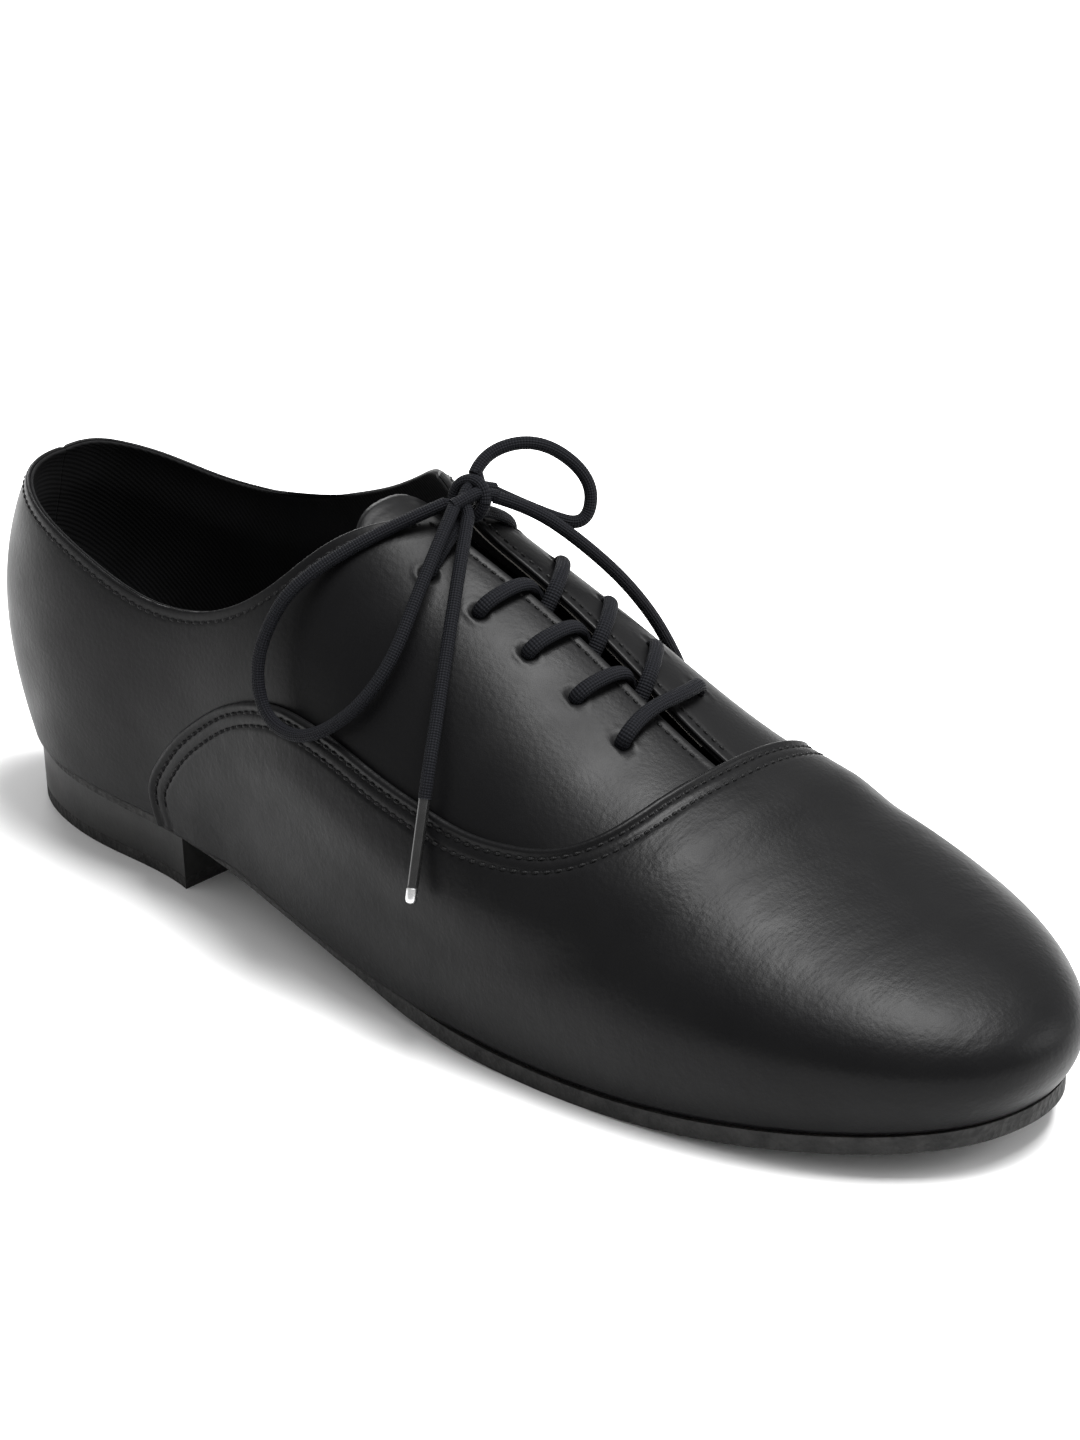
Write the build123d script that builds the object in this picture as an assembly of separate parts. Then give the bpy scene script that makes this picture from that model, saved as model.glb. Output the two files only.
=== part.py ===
"""Right-foot leather Oxford dance shoe with a low block heel, built as an assembly of its pieces.

Axes: +X points to the toe, +Y to the wearer's left (the medial side), +Z up, ground at z = 0.
The pattern is drawn from x = 0 at the back of the upper; every piece is moved on export so that the
origin is the middle of the heel's ground face.  All lengths are in millimetres.
"""
import math
import os

import numpy as np
from build123d import *

# ---------------------------------------------------------------- driving dimensions
ORIGIN_X = 42.0          # station of the middle of the heel's ground face
TOE_X = 303.0            # foremost point of the upper
BREAST_X = 77.0          # front face of the heel
SOLE_T = 4.2             # outsole under the forefoot
WAIST_T = 2.6            # outsole at the waist and under the heel seat
LIFT_T = 3.0             # heel top lift
LEATHER_T = 1.4          # vamp and quarter leather
STIFF_T = 1.0            # counter, toe puff and facing stays
LINING_T = 0.8
LAYER_GAP = 0.15         # glue line between stacked layers
SEAM_HALF = 0.06         # half of the gap left in the back seam
LINING_EDGE_GAP = 0.3    # the linings stop this far from each other along the vamp edge
LAP = 9.0                # quarter leather hidden under the vamp edge
LAP_LIFT = LEATHER_T + LAYER_GAP
RAMP_END = 27.0          # distance from the vamp edge where it is back on the last
COUNTER_END_X, COUNTER_SIDE, COUNTER_BACK = 74.0, 18.0, 40.0
PUFF_X, PUFF_TOP_X, PUFF_REACH = 243.0, 252.0, 50.0      # toe puff: rear ends, cap line, its half length
STIFF_LEVEL = -LEATHER_T - LAYER_GAP
LINING_LEVEL = STIFF_LEVEL - STIFF_T - LAYER_GAP
WALL_T = -LINING_LEVEL + LINING_T

# Station tables of the lasted upper: (x, value).  Widths are measured from the ridge line.
LATERAL_WIDTH = [(0, 34), (40, 36), (80, 34.5), (120, 42), (160, 52), (200, 54.5), (240, 50.5), (303, 46)]
MEDIAL_WIDTH = [(0, 34), (40, 36), (80, 36), (120, 36), (160, 37.5), (200, 43.5), (240, 51.5), (303, 41)]
RIDGE_Y = [(0, 0), (80, 0), (130, 2), (150, 4.8), (170, 6.8), (200, 7.5), (240, 6.5), (303, 8)]
WIDEST_Z = [(0, 50), (40, 49), (80, 45), (120, 38), (160, 30), (200, 24), (240, 24), (303, 23)]
RIDGE_Z = [(0, 126), (40, 124), (80, 118), (110, 111.5), (140, 98), (170, 83), (200, 67), (225, 57.5),
           (250, 49), (303, 45)]
FEATHER_RISE = [(0, 17), (50, 15), (80, 12.5), (120, 8), (160, 2.6), (200, 0.2), (240, 1.6), (270, 4.6),
                (303, 8)]            # height of the feather edge above its lowest point
HEEL_BACK_X = [(20, 5.0), (48, 0), (92, 3)]        # (height, x) of the back seam
TOE_ROUND_FROM, TOE_POWER = 210.0, 2.5
HEEL_ROUND_FROM, HEEL_POWER = 66.0, 2.5
SIDE_POWER = 2.25
TUCK = 0.36              # how far the wall curls in towards the feather edge


def smooth_curve(rows):
    """Natural cubic spline through (x, value) rows, as a function of x."""
    xs, ys = np.array(rows, float).T
    gap, n = np.diff(xs), len(xs)
    matrix, right = np.eye(n), np.zeros(n)
    for i in range(1, n - 1):
        matrix[i, i - 1:i + 2] = gap[i - 1], 2 * (gap[i - 1] + gap[i]), gap[i]
        right[i] = 6 * ((ys[i + 1] - ys[i]) / gap[i] - (ys[i] - ys[i - 1]) / gap[i - 1])
    bend = np.linalg.solve(matrix, right)

    def value(x):
        x = np.clip(np.asarray(x, float), xs[0], xs[-1])
        i = np.clip(np.searchsorted(xs, x) - 1, 0, n - 2)
        a = (xs[i + 1] - x) / gap[i]
        b = 1 - a
        return a * ys[i] + b * ys[i + 1] + ((a**3 - a) * bend[i] + (b**3 - b) * bend[i + 1]) * gap[i]**2 / 6
    return value


lateral_width, medial_width = smooth_curve(LATERAL_WIDTH), smooth_curve(MEDIAL_WIDTH)
ridge_y, widest_z, ridge_z = smooth_curve(RIDGE_Y), smooth_curve(WIDEST_Z), smooth_curve(RIDGE_Z)
feather_rise, heel_back_x = smooth_curve(FEATHER_RISE), smooth_curve(HEEL_BACK_X)
LOWEST_RISE = float(feather_rise(np.linspace(0, TOE_X, 600)).min())


def feather_z(x):
    """Height of the feather edge; the tread touches the ground at its lowest point."""
    return feather_rise(x) - LOWEST_RISE + SOLE_T


# ---------------------------------------------------------------- the lasted shape
def last_value(p):
    """Negative inside the outer face of the upper, positive outside, zero on it."""
    x, y, z = p[..., 0], p[..., 1], p[..., 2]
    mid = widest_z(x)
    half = np.where(y < ridge_y(x), lateral_width(x), medial_width(x))
    rise = np.where(z > mid, (z - mid) / (ridge_z(x) - mid), (mid - z) * TUCK / (mid - feather_z(x)))
    toe = np.clip((x - TOE_ROUND_FROM) / (TOE_X - TOE_ROUND_FROM), 0, None)
    heel = np.clip((HEEL_ROUND_FROM - x) / (HEEL_ROUND_FROM - heel_back_x(z)), 0, None)
    side = np.abs(y - ridge_y(x)) / half
    return side**SIDE_POWER + rise**2 + toe**TOE_POWER + heel**HEEL_POWER - 1


def last_normal(p):
    """Outward unit normals of the last at the points p."""
    step = 0.05
    grad = np.stack([last_value(p + step * e) - last_value(p - step * e) for e in np.eye(3)], -1)
    return grad / np.linalg.norm(grad, axis=-1, keepdims=True)


def onto_last(guess):
    """Move guess points radially from the spine of the last onto its surface."""
    guess = np.asarray(guess, float)
    x = 150 + 85 * np.tanh((guess[..., 0] - 150) / 95)
    origin = np.stack([x, ridge_y(x), 0.55 * widest_z(x) + 0.45 * feather_z(x) + 10], -1)
    ray = guess - origin
    ray /= np.linalg.norm(ray, axis=-1, keepdims=True)
    low, high = np.zeros(ray.shape[:-1]), np.full(ray.shape[:-1], 220.0)
    for _ in range(40):
        middle = (low + high) / 2
        inside = last_value(origin + ray * middle[..., None]) < 0
        low, high = np.where(inside, middle, low), np.where(inside, high, middle)
    return origin + ray * low[..., None]


def feather_point(angle, height=0.0):
    """Point of the last at the given height above the feather edge, by plan angle about the spine."""
    angle = np.asarray(angle, float)
    x = 150 + 75 * np.tanh(2.2 * np.cos(angle))
    origin, ray = np.stack([x, ridge_y(x)], -1), np.stack([np.cos(angle), np.sin(angle)], -1)
    low, high = np.zeros(angle.shape), np.full(angle.shape, 200.0)
    for _ in range(40):
        middle = (low + high) / 2
        plan = origin + ray * middle[..., None]
        p = np.concatenate([plan, (feather_z(plan[..., 0]) + height)[..., None]], -1)
        inside = last_value(p) < 0
        low, high = np.where(inside, middle, low), np.where(inside, high, middle)
    return p


def space_curve(rows):
    """Smooth 3-D curve through the rows, as a function of 0..1 along its length."""
    rows = np.array(rows, float)
    along = np.concatenate([[0], np.cumsum(np.linalg.norm(np.diff(rows, axis=0), axis=1))])
    parts = [smooth_curve(np.stack([along / along[-1], rows[:, k]], 1)) for k in range(3)]
    return lambda t: np.stack([part(t) for part in parts], -1)


def even(curve, count):
    """Points spaced evenly by length along a polyline."""
    along = np.concatenate([[0], np.cumsum(np.linalg.norm(np.diff(curve, axis=0), axis=1))])
    at = np.linspace(0, along[-1], count)
    return np.stack([np.interp(at, along, curve[:, k]) for k in range(3)], -1)


def mirrored(rows, side):
    """Pattern rows of the lateral side (side = -1), or the same rows flipped over the ridge."""
    rows = np.array(rows, float)
    if side > 0:
        rows[:, 1] = 2 * ridge_y(rows[:, 0]) - rows[:, 1]
    return rows


# ---------------------------------------------------------------- pattern lines on the last
FEATHER_GAP = 0.4        # the upper ends this far above the feather edge
# Edge of the vamp, from the feather edge by the heel over the quarter to the throat (lateral side).
VAMP_EDGE = [(73, -32, 18), (71.5, -33.4, 27), (75.5, -34, 35), (82, -34.5, 43), (90, -35, 50),
             (99, -36, 56.5), (110.5, -37, 61.5), (120, -38, 63.5), (130, -39, 63.3), (141, -40, 61.5),
             (153, -41, 58.5), (165, -41.5, 56), (178, -41, 53.5), (189, -39, 53), (197, -36, 53.5),
             (203.5, -31, 55.3), (207.5, -24, 58), (209.5, -14, 61), (210.5, -3, 63), (210.8, 7, 63.5)]
CORNER_AT = 0.115        # share of the vamp edge that belongs to its rear end
# Topline from the back seam to the top of the facing, per side (lateral -1, medial 1).
TOPLINE = {-1: [(3, 0.2, 86.5), (6.5, -9.5, 85.8), (13, -17, 84.5), (28, -27, 82), (41, -31, 79.5),
                (51, -32.4, 77), (61, -32.6, 74.2), (72, -32, 72.3), (86, -31.7, 74), (100.5, -31, 80),
                (110, -28.5, 87), (118, -22, 93.8), (125, -13.5, 99.5), (130, -5, 103), (131, -2, 104)],
           1: [(3, -0.2, 86.5), (6.5, 9.5, 85), (11, 16.5, 82), (18, 22.6, 78.3), (29, 29.4, 74.2),
               (42, 32.9, 73), (56, 33.8, 74.5), (74, 32.1, 80.8), (90, 29.1, 88.2), (106, 23.3, 97.8),
               (114, 18.5, 102), (120, 14.8, 104.6)]}
FACING_TOP_X, FACING_END_X = {-1: 131.0, 1: 120.0}, 210.8
# Half width of the gap between the facings at its two stations; the medial facing flares above the knot.
GAP_TOP, GAP_END, GAP_TOP_X = 3.6, 1.5, 131.0
FLARE, FLARE_FROM = {-1: 0.0, 1: 9.2}, 145.0


def vamp_edge(side, count, start=0.0, shift=0.0):
    """Points of the vamp edge on the last, moved by shift towards the toe side of the line."""
    t = np.linspace(start, 1, count)
    line = space_curve(mirrored(VAMP_EDGE, side))
    p = onto_last(line(t))
    if shift:
        tangent = line(np.clip(t + 0.01, 0, 1)) - line(np.clip(t - 0.01, 0, 1))
        across = np.cross(tangent, last_normal(p)) * -side
        p = onto_last(p + shift * across / np.linalg.norm(across, axis=1, keepdims=True))
    return p


def facing_edge(side, x, back=0.0):
    """Point of the facing edge at station x, or 'back' mm away from it on the quarter."""
    x = np.asarray(x, float)
    share = (x - GAP_TOP_X) / (FACING_END_X - GAP_TOP_X)
    flare = FLARE[side] * (np.clip(FLARE_FROM - x, 0, None) / (FLARE_FROM - FACING_TOP_X[side]))**2
    return across_last(x, side * (GAP_TOP + (GAP_END - GAP_TOP) * share + flare + back))


def across_last(x, reach, lift=0.0):
    """Point of the last at station x and arc length 'reach' from the ridge (medial positive)."""
    x, reach = np.broadcast_arrays(np.asarray(x, float), np.asarray(reach, float))
    fan = np.radians(np.linspace(-100, 100, 401))
    points = np.empty(x.shape + (3,))
    for index in np.ndindex(x.shape):
        hub = np.array([x[index], ridge_y(x[index]), widest_z(x[index])])
        ray = np.stack([0 * fan, np.sin(fan), np.cos(fan)], -1)
        low, high = np.zeros(fan.shape), np.full(fan.shape, 150.0)
        for _ in range(32):
            middle = (low + high) / 2
            inside = last_value(hub + ray * middle[:, None]) < 0
            low, high = np.where(inside, middle, low), np.where(inside, high, middle)
        arc = hub + ray * low[:, None]
        along = np.concatenate([[0], np.cumsum(np.linalg.norm(np.diff(arc, axis=0), axis=1))])
        along -= np.interp(0, fan, along)
        points[index] = [np.interp(reach[index], along, arc[:, k]) for k in range(3)]
    return points + np.asarray(lift)[..., None] * last_normal(points)


# ---------------------------------------------------------------- sheets of leather as solids
def coons(bottom, top, left, right):
    """Grid of points spanned between four boundary lines, laid on the last."""
    u = np.linspace(0, 1, len(bottom))[:, None, None]
    v = np.linspace(0, 1, len(left))[None, :, None]
    grid = (1 - v) * bottom[:, None] + v * top[:, None] + (1 - u) * left[None] + u * right[None]
    grid -= (1 - u) * ((1 - v) * bottom[0] + v * top[0]) + u * ((1 - v) * bottom[-1] + v * top[-1])
    return onto_last(grid)


def sheet(grid, outer, thickness):
    """Closed solid between the grid lifted by 'outer' and the same grid one thickness further in."""
    normal = last_normal(grid)
    lift = np.broadcast_to(np.asarray(outer, float), grid.shape[:2])[..., None]
    faces = []
    for level in (lift, lift - thickness):
        rows = [[tuple(p) for p in row] for row in grid + level * normal]
        faces.append(Face.make_surface_from_array_of_points(rows, tol=0.01))
    outside, inside = faces
    rims = []
    for edge in outside.edges():
        partner = min(inside.edges(), key=lambda e: (e @ 0.5 - edge @ 0.5).length)
        rims.append(Face.make_surface_from_curves(edge, partner))
    return Solid(Shell([outside, inside] + rims))


def angle_at(x, side):
    """Plan angle of the feather point that lies at station x on the given side."""
    sweep = np.linspace(0, math.pi, 400)
    return side * float(np.interp(-x, -feather_point(side * sweep)[:, 0], sweep))


def feather_run(start, end, count, height=FEATHER_GAP):
    """Evenly spaced feather points between two plan angles."""
    return even(feather_point(np.linspace(start, end, 300), height), count)


def vamp_grid(edge_shift, count=91, rows=19):
    """Grid of the vamp: feather edge round the toe below, vamp edge above."""
    edges = [vamp_edge(side, 300, shift=edge_shift) for side in (-1, 1)]
    corner = int(300 * CORNER_AT)
    starts = [angle_at(edge[0, 0], side) for edge, side in zip(edges, (-1, 1))]
    bottom = feather_run(*starts, count)
    left, right = [even(np.concatenate([bottom[end:][:1], edge[6:corner]]), rows)
                   for end, edge in zip((0, -1), edges)]
    top = even(np.concatenate([edges[0][corner - 1:], edges[1][:corner - 2:-1]]), count)
    return coons(bottom, top, left, right)


def vamp_lift(grid):
    """Lift of the vamp: raised over the quarters along its edge, back on the last further in."""
    edge = np.concatenate([vamp_edge(side, 150) for side in (-1, 1)])
    reach = np.linalg.norm(grid[:, :, None] - edge, axis=-1).min(-1)
    fade = np.clip((RAMP_END - reach) / (RAMP_END - LAP - 4), 0, 1)
    return LAP_LIFT * fade**2 * (3 - 2 * fade)


def topline(side, count):
    """Points of the collar edge from the back seam to the top of the facing."""
    line = onto_last(space_curve(TOPLINE[side])(np.linspace(0, 1, count)))
    seam = np.clip(1 - np.arange(count) / 2, 0, 1)[:, None]
    line[:, 1:2] = line[:, 1:2] * (1 - seam) + side * SEAM_HALF * seam
    return line


def quarter_grid(side, lap, count=57, rows=19):
    """Grid of one quarter: feather and vamp line below, topline above, facing at the front."""
    lap_line = vamp_edge(side, 160, shift=lap)[26:]
    foot = feather_run(side * (math.pi - 1e-3), angle_at(lap_line[0, 0] - 13, side), 60)
    bottom = space_curve(np.concatenate([foot[::12], lap_line[::9], lap_line[-1:]]))
    bottom = onto_last(bottom(np.linspace(0, 1, 300)))
    front_x = np.linspace(FACING_END_X + lap, FACING_TOP_X[side], rows)
    front = facing_edge(side, front_x)
    bottom = bottom[:np.argmin(np.linalg.norm(bottom - front[0], axis=1))]
    bottom = even(np.concatenate([bottom, front[:1]]), count)
    top = topline(side, 200)
    top = even(np.concatenate([top[:-8], front[-1:]]), count)
    seam_z = np.linspace(bottom[0, 2], top[0, 2], rows)
    seam = np.stack([heel_back_x(seam_z), 0 * seam_z + side * SEAM_HALF, seam_z], -1)
    seam[0], seam[-1] = bottom[0], top[0]
    return coons(bottom, top, onto_last(seam), front)


def half_strip(bottom, top, rows):
    """Plain strip between two lines of equal count."""
    share = np.linspace(0, 1, rows)[:, None]
    left, right = bottom[0] + share * (top[0] - bottom[0]), bottom[-1] + share * (top[-1] - bottom[-1])
    return coons(bottom, top, left, right)


def counter_grid():
    """Heel counter: wraps the heel seat, highest at the back."""
    reach = [angle_at(COUNTER_END_X, side) for side in (-1, 1)]
    loop = np.linspace(reach[0], reach[1] - 2 * math.pi, 49)
    bottom = feather_point(loop, FEATHER_GAP + 1)
    rise = COUNTER_SIDE + (COUNTER_BACK - COUNTER_SIDE) * np.sin(np.linspace(0, math.pi, 49))**0.8
    top = bottom + np.stack([0 * rise, 0 * rise, rise], -1)
    return half_strip(bottom, onto_last(top), 9)


def toe_puff_grid():
    """Toe puff: cap over the toe box up to a straight cap line."""
    bottom = feather_run(*[angle_at(PUFF_X, side) for side in (-1, 1)], 61, FEATHER_GAP + 1)
    cap_line = across_last(PUFF_TOP_X, np.linspace(-PUFF_REACH, PUFF_REACH, 61))
    return half_strip(bottom, cap_line, 13)


def facing_stay_grid(side):
    """Reinforcing strip under the eyelet row."""
    x = np.linspace(GAP_TOP_X + 2, FACING_END_X - 8, 17)
    return half_strip(facing_edge(side, x, 21), facing_edge(side, x, 0.6), 7)


# ---------------------------------------------------------------- tongue
TONGUE_LEVEL = -8.1      # under the lace runs
TONGUE_T, TONGUE_LINING_T = 1.2, 0.7
TONGUE_TOP_X, TONGUE_ROOT_X = 118.0, 224.0
TONGUE_HALF_TOP, TONGUE_HALF_ROOT = 27.0, 17.0
ROOT_LEVEL = LINING_LEVEL - LINING_T - 0.4


def tongue_grid():
    """Grid of the tongue below the facings, wider and rounded at the top."""
    x = np.linspace(TONGUE_TOP_X, TONGUE_ROOT_X, 25)
    share = (x - TONGUE_TOP_X) / (TONGUE_ROOT_X - TONGUE_TOP_X)
    half = TONGUE_HALF_TOP + (TONGUE_HALF_ROOT - TONGUE_HALF_TOP) * share
    across = np.linspace(-1, 1, 17)
    corner = 9 * np.clip(1 - share * 6, 0, 1)[:, None]**2 * across**4
    return across_last(x[:, None] + corner, half[:, None] * across)


def tongue_level(grid):
    """Lift of the tongue's upper face: low under the laces, close to the lining at its root."""
    fade = np.clip((grid[..., 0] - 203) / (TONGUE_ROOT_X - 203), 0, 1)
    return TONGUE_LEVEL + (ROOT_LEVEL - TONGUE_LEVEL) * fade**2 * (3 - 2 * fade)


# ---------------------------------------------------------------- bottom of the shoe
HEEL_BACK, HEEL_HALF = 7.0, 29.0         # heel at the ground: back and half width at the breast
HEEL_FLARE = 1.5                         # the heel widens by this much towards the seat
BOARD_T, SOCK_T = 2.2, 1.0
BOARD_INSET = WALL_T + 0.9
SHANK_SPAN, SHANK_HALF, SHANK_T = (48.0, 150.0), 6.0, 0.9
NAIL_R, NAIL_DEPTH = 0.9, 9.0
NAILS = [(17, 0), (30, -15), (30, 15), (58, -18), (58, 18)]
SOLE_TOP_GAP, SOCK_GAP, SHANK_GAP, NAIL_CLEAR = 0.1, 0.08, 0.15, 0.06
SOLE_INSET, SOLE_LIP = 1.6, 0.6          # sole edge against the feather line, at the waist and in front


def smoothstep(x, start, end):
    """0 before start, 1 after end, smooth between."""
    share = np.clip((np.asarray(x, float) - start) / (end - start), 0, 1)
    return share**2 * (3 - 2 * share)


def sole_thickness(x):
    """Outsole thickness: thin under the heel and waist, full under the forefoot."""
    return WAIST_T + (SOLE_T - WAIST_T) * smoothstep(x, 125, 165)


def sole_bottom(x):
    """Height of the outsole's underside."""
    return feather_z(x) - sole_thickness(x)


def plan_outline(growth, samples=96):
    """Closed plan curve: the feather edge moved outwards by growth(x)."""
    angle = np.linspace(0, 2 * math.pi, samples, endpoint=False)
    loop = even(feather_point(np.append(angle, 2 * math.pi)), samples + 1)[:-1]
    tangent = np.roll(loop, -1, axis=0) - np.roll(loop, 1, axis=0)
    outward = np.stack([tangent[:, 1], -tangent[:, 0]], -1)
    outward /= np.linalg.norm(outward, axis=1, keepdims=True)
    plan = loop[:, :2] + outward * np.asarray(growth(loop[:, 0]))[:, None]
    return Face(Wire([Spline(*[tuple(p) for p in plan], periodic=True)]))


def band(lower, upper, start=-20.0, end=330.0, half=90.0):
    """Prism across the shoe between two height functions of x."""
    xs = np.linspace(start, end, 61)
    low = [(float(x), 0, float(lower(x))) for x in xs]
    high = [(float(x), 0, float(upper(x))) for x in xs]
    wire = Wire([Spline(*low), Line(low[-1], high[-1]), Spline(*high[::-1]), Line(high[0], low[0])])
    return Pos(0, half, 0) * extrude(Face(wire), 2 * half, dir=(0, -1, 0))


def plate(growth, lower, upper):
    """Sole-shaped plate bent along the feather line."""
    blank = extrude(Pos(0, 0, -5) * plan_outline(growth), 60, dir=(0, 0, 1))
    return (blank & band(lower, upper)).solid()


def sole_growth(x):
    """The sole is set in under the heel and waist and flush with a small lip in front."""
    return -SOLE_INSET + (SOLE_INSET + SOLE_LIP) * smoothstep(x, 140, 185)


def heel_outline(z, grow):
    """D-shaped heel section at height z."""
    share = np.linspace(0, math.pi / 2, 9)
    back, half = HEEL_BACK - 0.5 * grow, HEEL_HALF + grow
    side_x = back + 46 * (1 - np.cos(share))
    side_y = (half - 2.5) * np.sin(share)**0.9
    curve = [(float(x), -float(y), z) for x, y in zip(side_x[::-1], side_y[::-1])]
    curve += [(float(x), float(y), z) for x, y in zip(side_x[1:], side_y[1:])]
    ends = [(BREAST_X, -half, z), (BREAST_X, half, z)]
    return Wire([Spline(ends[0], *curve, ends[1]), Line(ends[1], ends[0])])


def heel_blank():
    """Heel before it is split into block and top lift."""
    return Solid.make_loft([heel_outline(0, 0), heel_outline(24, HEEL_FLARE)])


def nail_holes(radius):
    """Vertical cylinders at the heel nails, from inside the heel block to the insole board."""
    pins = []
    for x, y in NAILS:
        top = float(feather_z(x)) + SOLE_TOP_GAP + BOARD_T - 0.25
        pins.append(Pos(x, y, top - NAIL_DEPTH / 2) * Cylinder(radius, NAIL_DEPTH))
    return pins


def board_growth(x):
    """The insole board is set in by the thickness of the upper."""
    return 0 * x - BOARD_INSET


def above_feather(rise):
    """Height function that follows the feather line at a fixed distance."""
    return lambda x: feather_z(x) + rise


def shank_bar(clear):
    """Straight bar over the shank's length, wider by 'clear' on every side."""
    start, end = SHANK_SPAN
    return Pos((start + end) / 2, 0, 12) * Box(end - start + 2 * clear, 2 * (SHANK_HALF + clear), 40)


def bottom_pieces():
    """Outsole, heel, lift, nails, insole board, shank and sock."""
    board_top = SOLE_TOP_GAP + BOARD_T
    sock_low = board_top + SOCK_GAP
    shank_low = SOLE_TOP_GAP + SHANK_GAP
    drills = Compound(nail_holes(NAIL_R + NAIL_CLEAR))
    board = plate(board_growth, above_feather(SOLE_TOP_GAP), above_feather(board_top))
    sock = plate(board_growth, above_feather(sock_low), above_feather(sock_low + SOCK_T))
    sole = plate(sole_growth, sole_bottom, above_feather(-SOLE_TOP_GAP))
    heel = heel_blank()
    under_sole = band(lambda x: 0 * x + LIFT_T + 0.05, lambda x: np.maximum(sole_bottom(x) - 0.06, 4.0),
                      -10, BREAST_X + 8)
    shank = shank_bar(0) & band(above_feather(shank_low), above_feather(shank_low + SHANK_T))
    slot = shank_bar(0.1) & band(above_feather(-2), above_feather(shank_low + SHANK_T + 0.1))
    return {
        "outsole": sole - drills,
        "heel_block": (heel & under_sole) - drills,
        "heel_top_lift": heel & (Pos(40, 0, LIFT_T / 2) * Box(120, 120, LIFT_T)),
        "heel_nails": Compound(nail_holes(NAIL_R)),
        "insole_board": board - slot - drills,
        "shank": shank,
        "sock_lining": sock,
    }


# ---------------------------------------------------------------- laces
LACE_R = 1.5
EYELET_ROWS, EYELET_PITCH, LAST_ROW_X = 5, 13.3, 194.5
EYELET_BACK = {-1: 14.0, 1: 12.0}        # eyelet distance from the facing edge, per side
MEDIAL_SKEW = 4.0                        # the medial row sits this much nearer the heel
# How far towards the toe a strand has moved at its own facing edge and at the other one.
EDGE_SLIDE, DIVE_SLIDE = {-1: 1.0, 1: 8.5}, {-1: 2.0, 1: 11.5}
EYELET_R = LACE_R + 0.25
MID_LEATHER = -WALL_T / 2                # strands meet in the middle of the eyelet
OVER, UNDER = 2.7, -WALL_T - LACE_R - 0.4
KNOT_CENTRE = (138.0, 3.5, 106.0)
KNOT_R, KNOT_FACET = 6.8, 5.6
AGLET_R, AGLET_LENGTH = 1.35, 24.0
FREE_BEND = 12.0         # usual bend radius of the loops and loose ends
# Directions in which the strands leave the knot.
TO_EYELET = {-1: (0.15, -0.70, -0.70), 1: (-0.05, 0.70, -0.70)}
LOOP_EXITS = {-1: ((-0.45, -0.88, -0.05), (0.15, -0.97, 0.10)), 1: ((-0.14, 0.45, 0.88), (0.25, 0.95, 0.15))}
END_EXITS = {-1: (0.60, -0.70, -0.35), 1: (0.80, 0.58, 0.15)}
# Corner points of the bow loops and of the loose ends (lateral = -1, medial = 1).
LOOPS = {-1: [(121.0, -30.8, 96.8), (114.0, -40.9, 77.0), (119.5, -44.0, 62.0), (135.0, -44.5, 61.5),
              (149.5, -36.5, 77.0), (145.5, -18.0, 98.0)],
         1: [(135.0, 10.5, 116.5), (142.5, 20.5, 118.5), (151.5, 28.5, 108.5), (153.0, 25.5, 97.5),
             (147.5, 17.5, 100.5)]}
ENDS = {-1: [(148.5, -10.5, 98.5), (157.5, -24.5, 84.0), (164.5, -35.8, 70.5), (167.6, -41.0, 64.5),
             (168.6, -43.3, 58.8)],
        1: [(148.5, 12.0, 104.5), (155.5, 20.5, 96.0), (161.0, 32.0, 82.5), (165.0, 41.0, 67.0),
            (167.0, 45.0, 55.0)]}


def eyelet_x(side, row):
    """Station of an eyelet, row 0 at the toe end."""
    return LAST_ROW_X - EYELET_PITCH * row - (MEDIAL_SKEW if side > 0 else 0)


def eyelet(side, row, lift=0.0):
    """Point on the axis of an eyelet at the given lift above the last."""
    hole = facing_edge(side, eyelet_x(side, row), EYELET_BACK[side])
    return hole + lift * last_normal(hole)


def run_over(side, row):
    """Strand that leaves an eyelet, crosses its facing edge and dives below the other facing."""
    x = eyelet_x(side, row)
    edge = facing_edge(side, x + EDGE_SLIDE[side], 0.0)
    dive = facing_edge(-side, x + DIVE_SLIDE[side], 1.0)
    far = eyelet(-side, row - 1)
    return [eyelet(side, row, MID_LEATHER), eyelet(side, row, OVER), edge + OVER * last_normal(edge),
            dive + (UNDER - 0.4) * last_normal(dive), far + UNDER * last_normal(far),
            eyelet(-side, row - 1, MID_LEATHER)]


def bottom_bar():
    """Straight bar across both facings at the toe end."""
    middle = [across_last(LAST_ROW_X - 2.0, reach, OVER + 0.2) for reach in (-6.0, 6.0)]
    return [eyelet(-1, 0, MID_LEATHER), eyelet(-1, 0, OVER), *middle, eyelet(1, 0, OVER),
            eyelet(1, 0, MID_LEATHER)]


def side_run(side):
    """Strand below one facing between its two uppermost eyelets."""
    low, top = EYELET_ROWS - 2, EYELET_ROWS - 1
    return [eyelet(side, low, MID_LEATHER), eyelet(side, low, UNDER), eyelet(side, top, UNDER),
            eyelet(side, top, MID_LEATHER)]


def knot_exit(direction, reach):
    """Point at the given distance from the knot centre along an exit direction."""
    direction = np.array(direction) / np.linalg.norm(direction)
    return np.array(KNOT_CENTRE) + reach * direction


def top_run(side):
    """Strand from the first eyelet up to the knot."""
    top = EYELET_ROWS - 1
    return [eyelet(side, top, MID_LEATHER), eyelet(side, top, OVER), knot_exit(TO_EYELET[side], KNOT_FACET)]


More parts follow.
